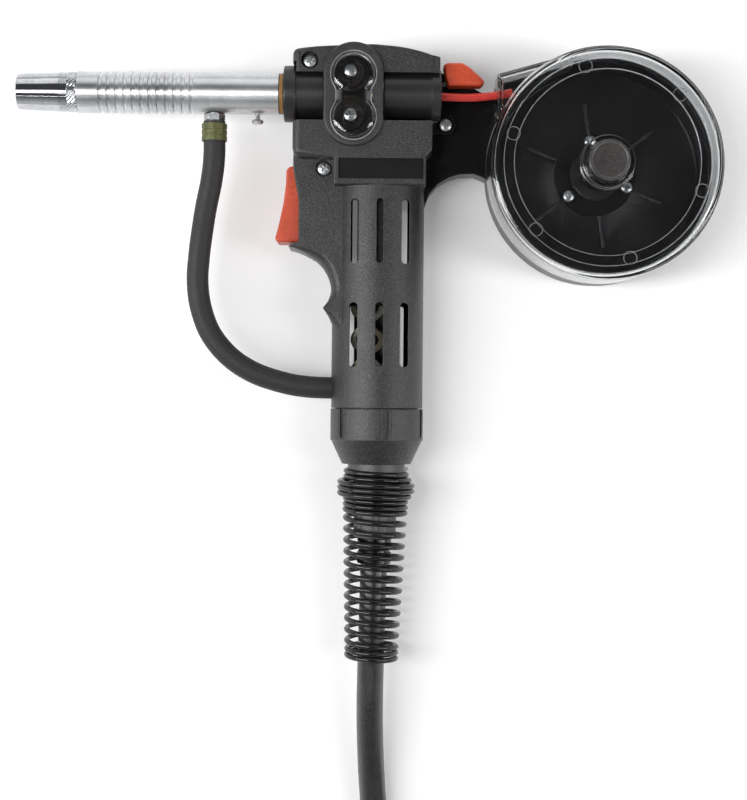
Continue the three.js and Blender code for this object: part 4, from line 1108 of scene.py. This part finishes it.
def spring_path(steps=26):
    y = RELIEF_Y + 3.2 - sum(turns * pitch for turns, pitch, _, _ in COILS)
    angle = 0
    rows = []
    for turns, pitch, first, last in COILS:
        for k in range(turns * steps):
            rows.append([first + (last - first) * k / (turns * steps), y, angle])
            y += pitch / steps
            angle += 2 * pi / steps
    radii = [row[0] for row in rows]
    half = steps // 4
    for i, row in enumerate(rows):
        near = radii[max(0, i - half):i + half + 1]
        row[0] = sum(near) / len(near)
    return [(r * cos(a), y, HANDLE_Z + r * sin(a)) for r, y, a in rows]


def make_strain_relief():
    nut = [(21.2, GRIP_END - GAP), (23.1, GRIP_END - GAP), (23.1, -170.4), (22.5, -170.9), (17.2, -182.3),
           (14.6, -182.3), (14.6, -168), (21.2, -168)]
    radii = [0.2, 0.4, 0.4, 0.3, 0.5, 0.2, 0, 0]
    steps = [(ADD, lathe(rounded(nut, radii), "y", GRIP, 192))]
    groove = [(-1.5, -150), (-1.5, -167.2), (-0.8, -169), (0, -169.6), (0.8, -169), (1.5, -167.2),
              (1.5, -150)]
    for k in range(6):
        angle = 11.5 + 60 * k
        cutter = prism(groove, HANDLE_Z + 22.1, HANDLE_Z + 30)
        steps.append((CUT, turned_about(cutter, "Y", angle, (0, 0, HANDLE_Z))))
        for side in (-1, 1):
            line = block(side * 2.6 - 0.25, side * 2.6 + 0.25, -169.4, -150, HANDLE_Z + 22.6, HANDLE_Z + 30)
            steps.append((CUT, turned_about(line, "Y", angle, (0, 0, HANDLE_Z))))
    piece("strain_nut_collar", carved(steps), HOUSING, "strain_nut", sharp=30)

    neck = [(7.6, -163.6), (17.6, -163.6), (17.6, -167.6), (14.2, -167.6), (14.2, -186.8), (7.6, -186.8)]
    piece("strain_neck_sleeve", lathe(rounded(neck, 0.4, 3), "y", GRIP), GREY, "strain_neck")
    piece("spring_guard_coil", lean(tube(spring_path(), 1.35, 18)), SPRING_BLACK, "spring_guard",
          sharp=60)

    def flutes(angle, along, r):
        return -0.35 * max(0, cos(8 * angle)) ** 6 if r > 10 else 0

    sleeve = [(7.2, -219), (10.7, -219), (10.7, -189), (7.2, -189)]
    piece("cable_ferrule_sleeve", lean(lathe(rounded(sleeve, 0.5, 3), "y", GRIP, 192, flutes)), GREY,
          "cable_ferrule", sharp=50)
    clamp = [(7.2, -232), (8.5, -232), (8.5, -226.6), (7.9, -226.2), (7.9, -225), (8.5, -224.6),
             (8.5, -219.4), (7.2, -219.4)]
    piece("cable_clamp_band", lean(lathe(rounded(clamp, 0.3, 3), "y", GRIP)), SPRING_BLACK, "cable_clamp")


make_camera()
make_lights()
make_floor()
make_cords()
finish_cad_nodes()
make_barrel()
make_nozzle()
make_drive_housing()
make_rolls_and_screws()
make_trigger()
make_pressure_lever()
make_left_shell()
make_right_shell()
make_window()
make_canister_base()
make_canister_cover()
make_knob()
make_lines()
make_strain_relief()
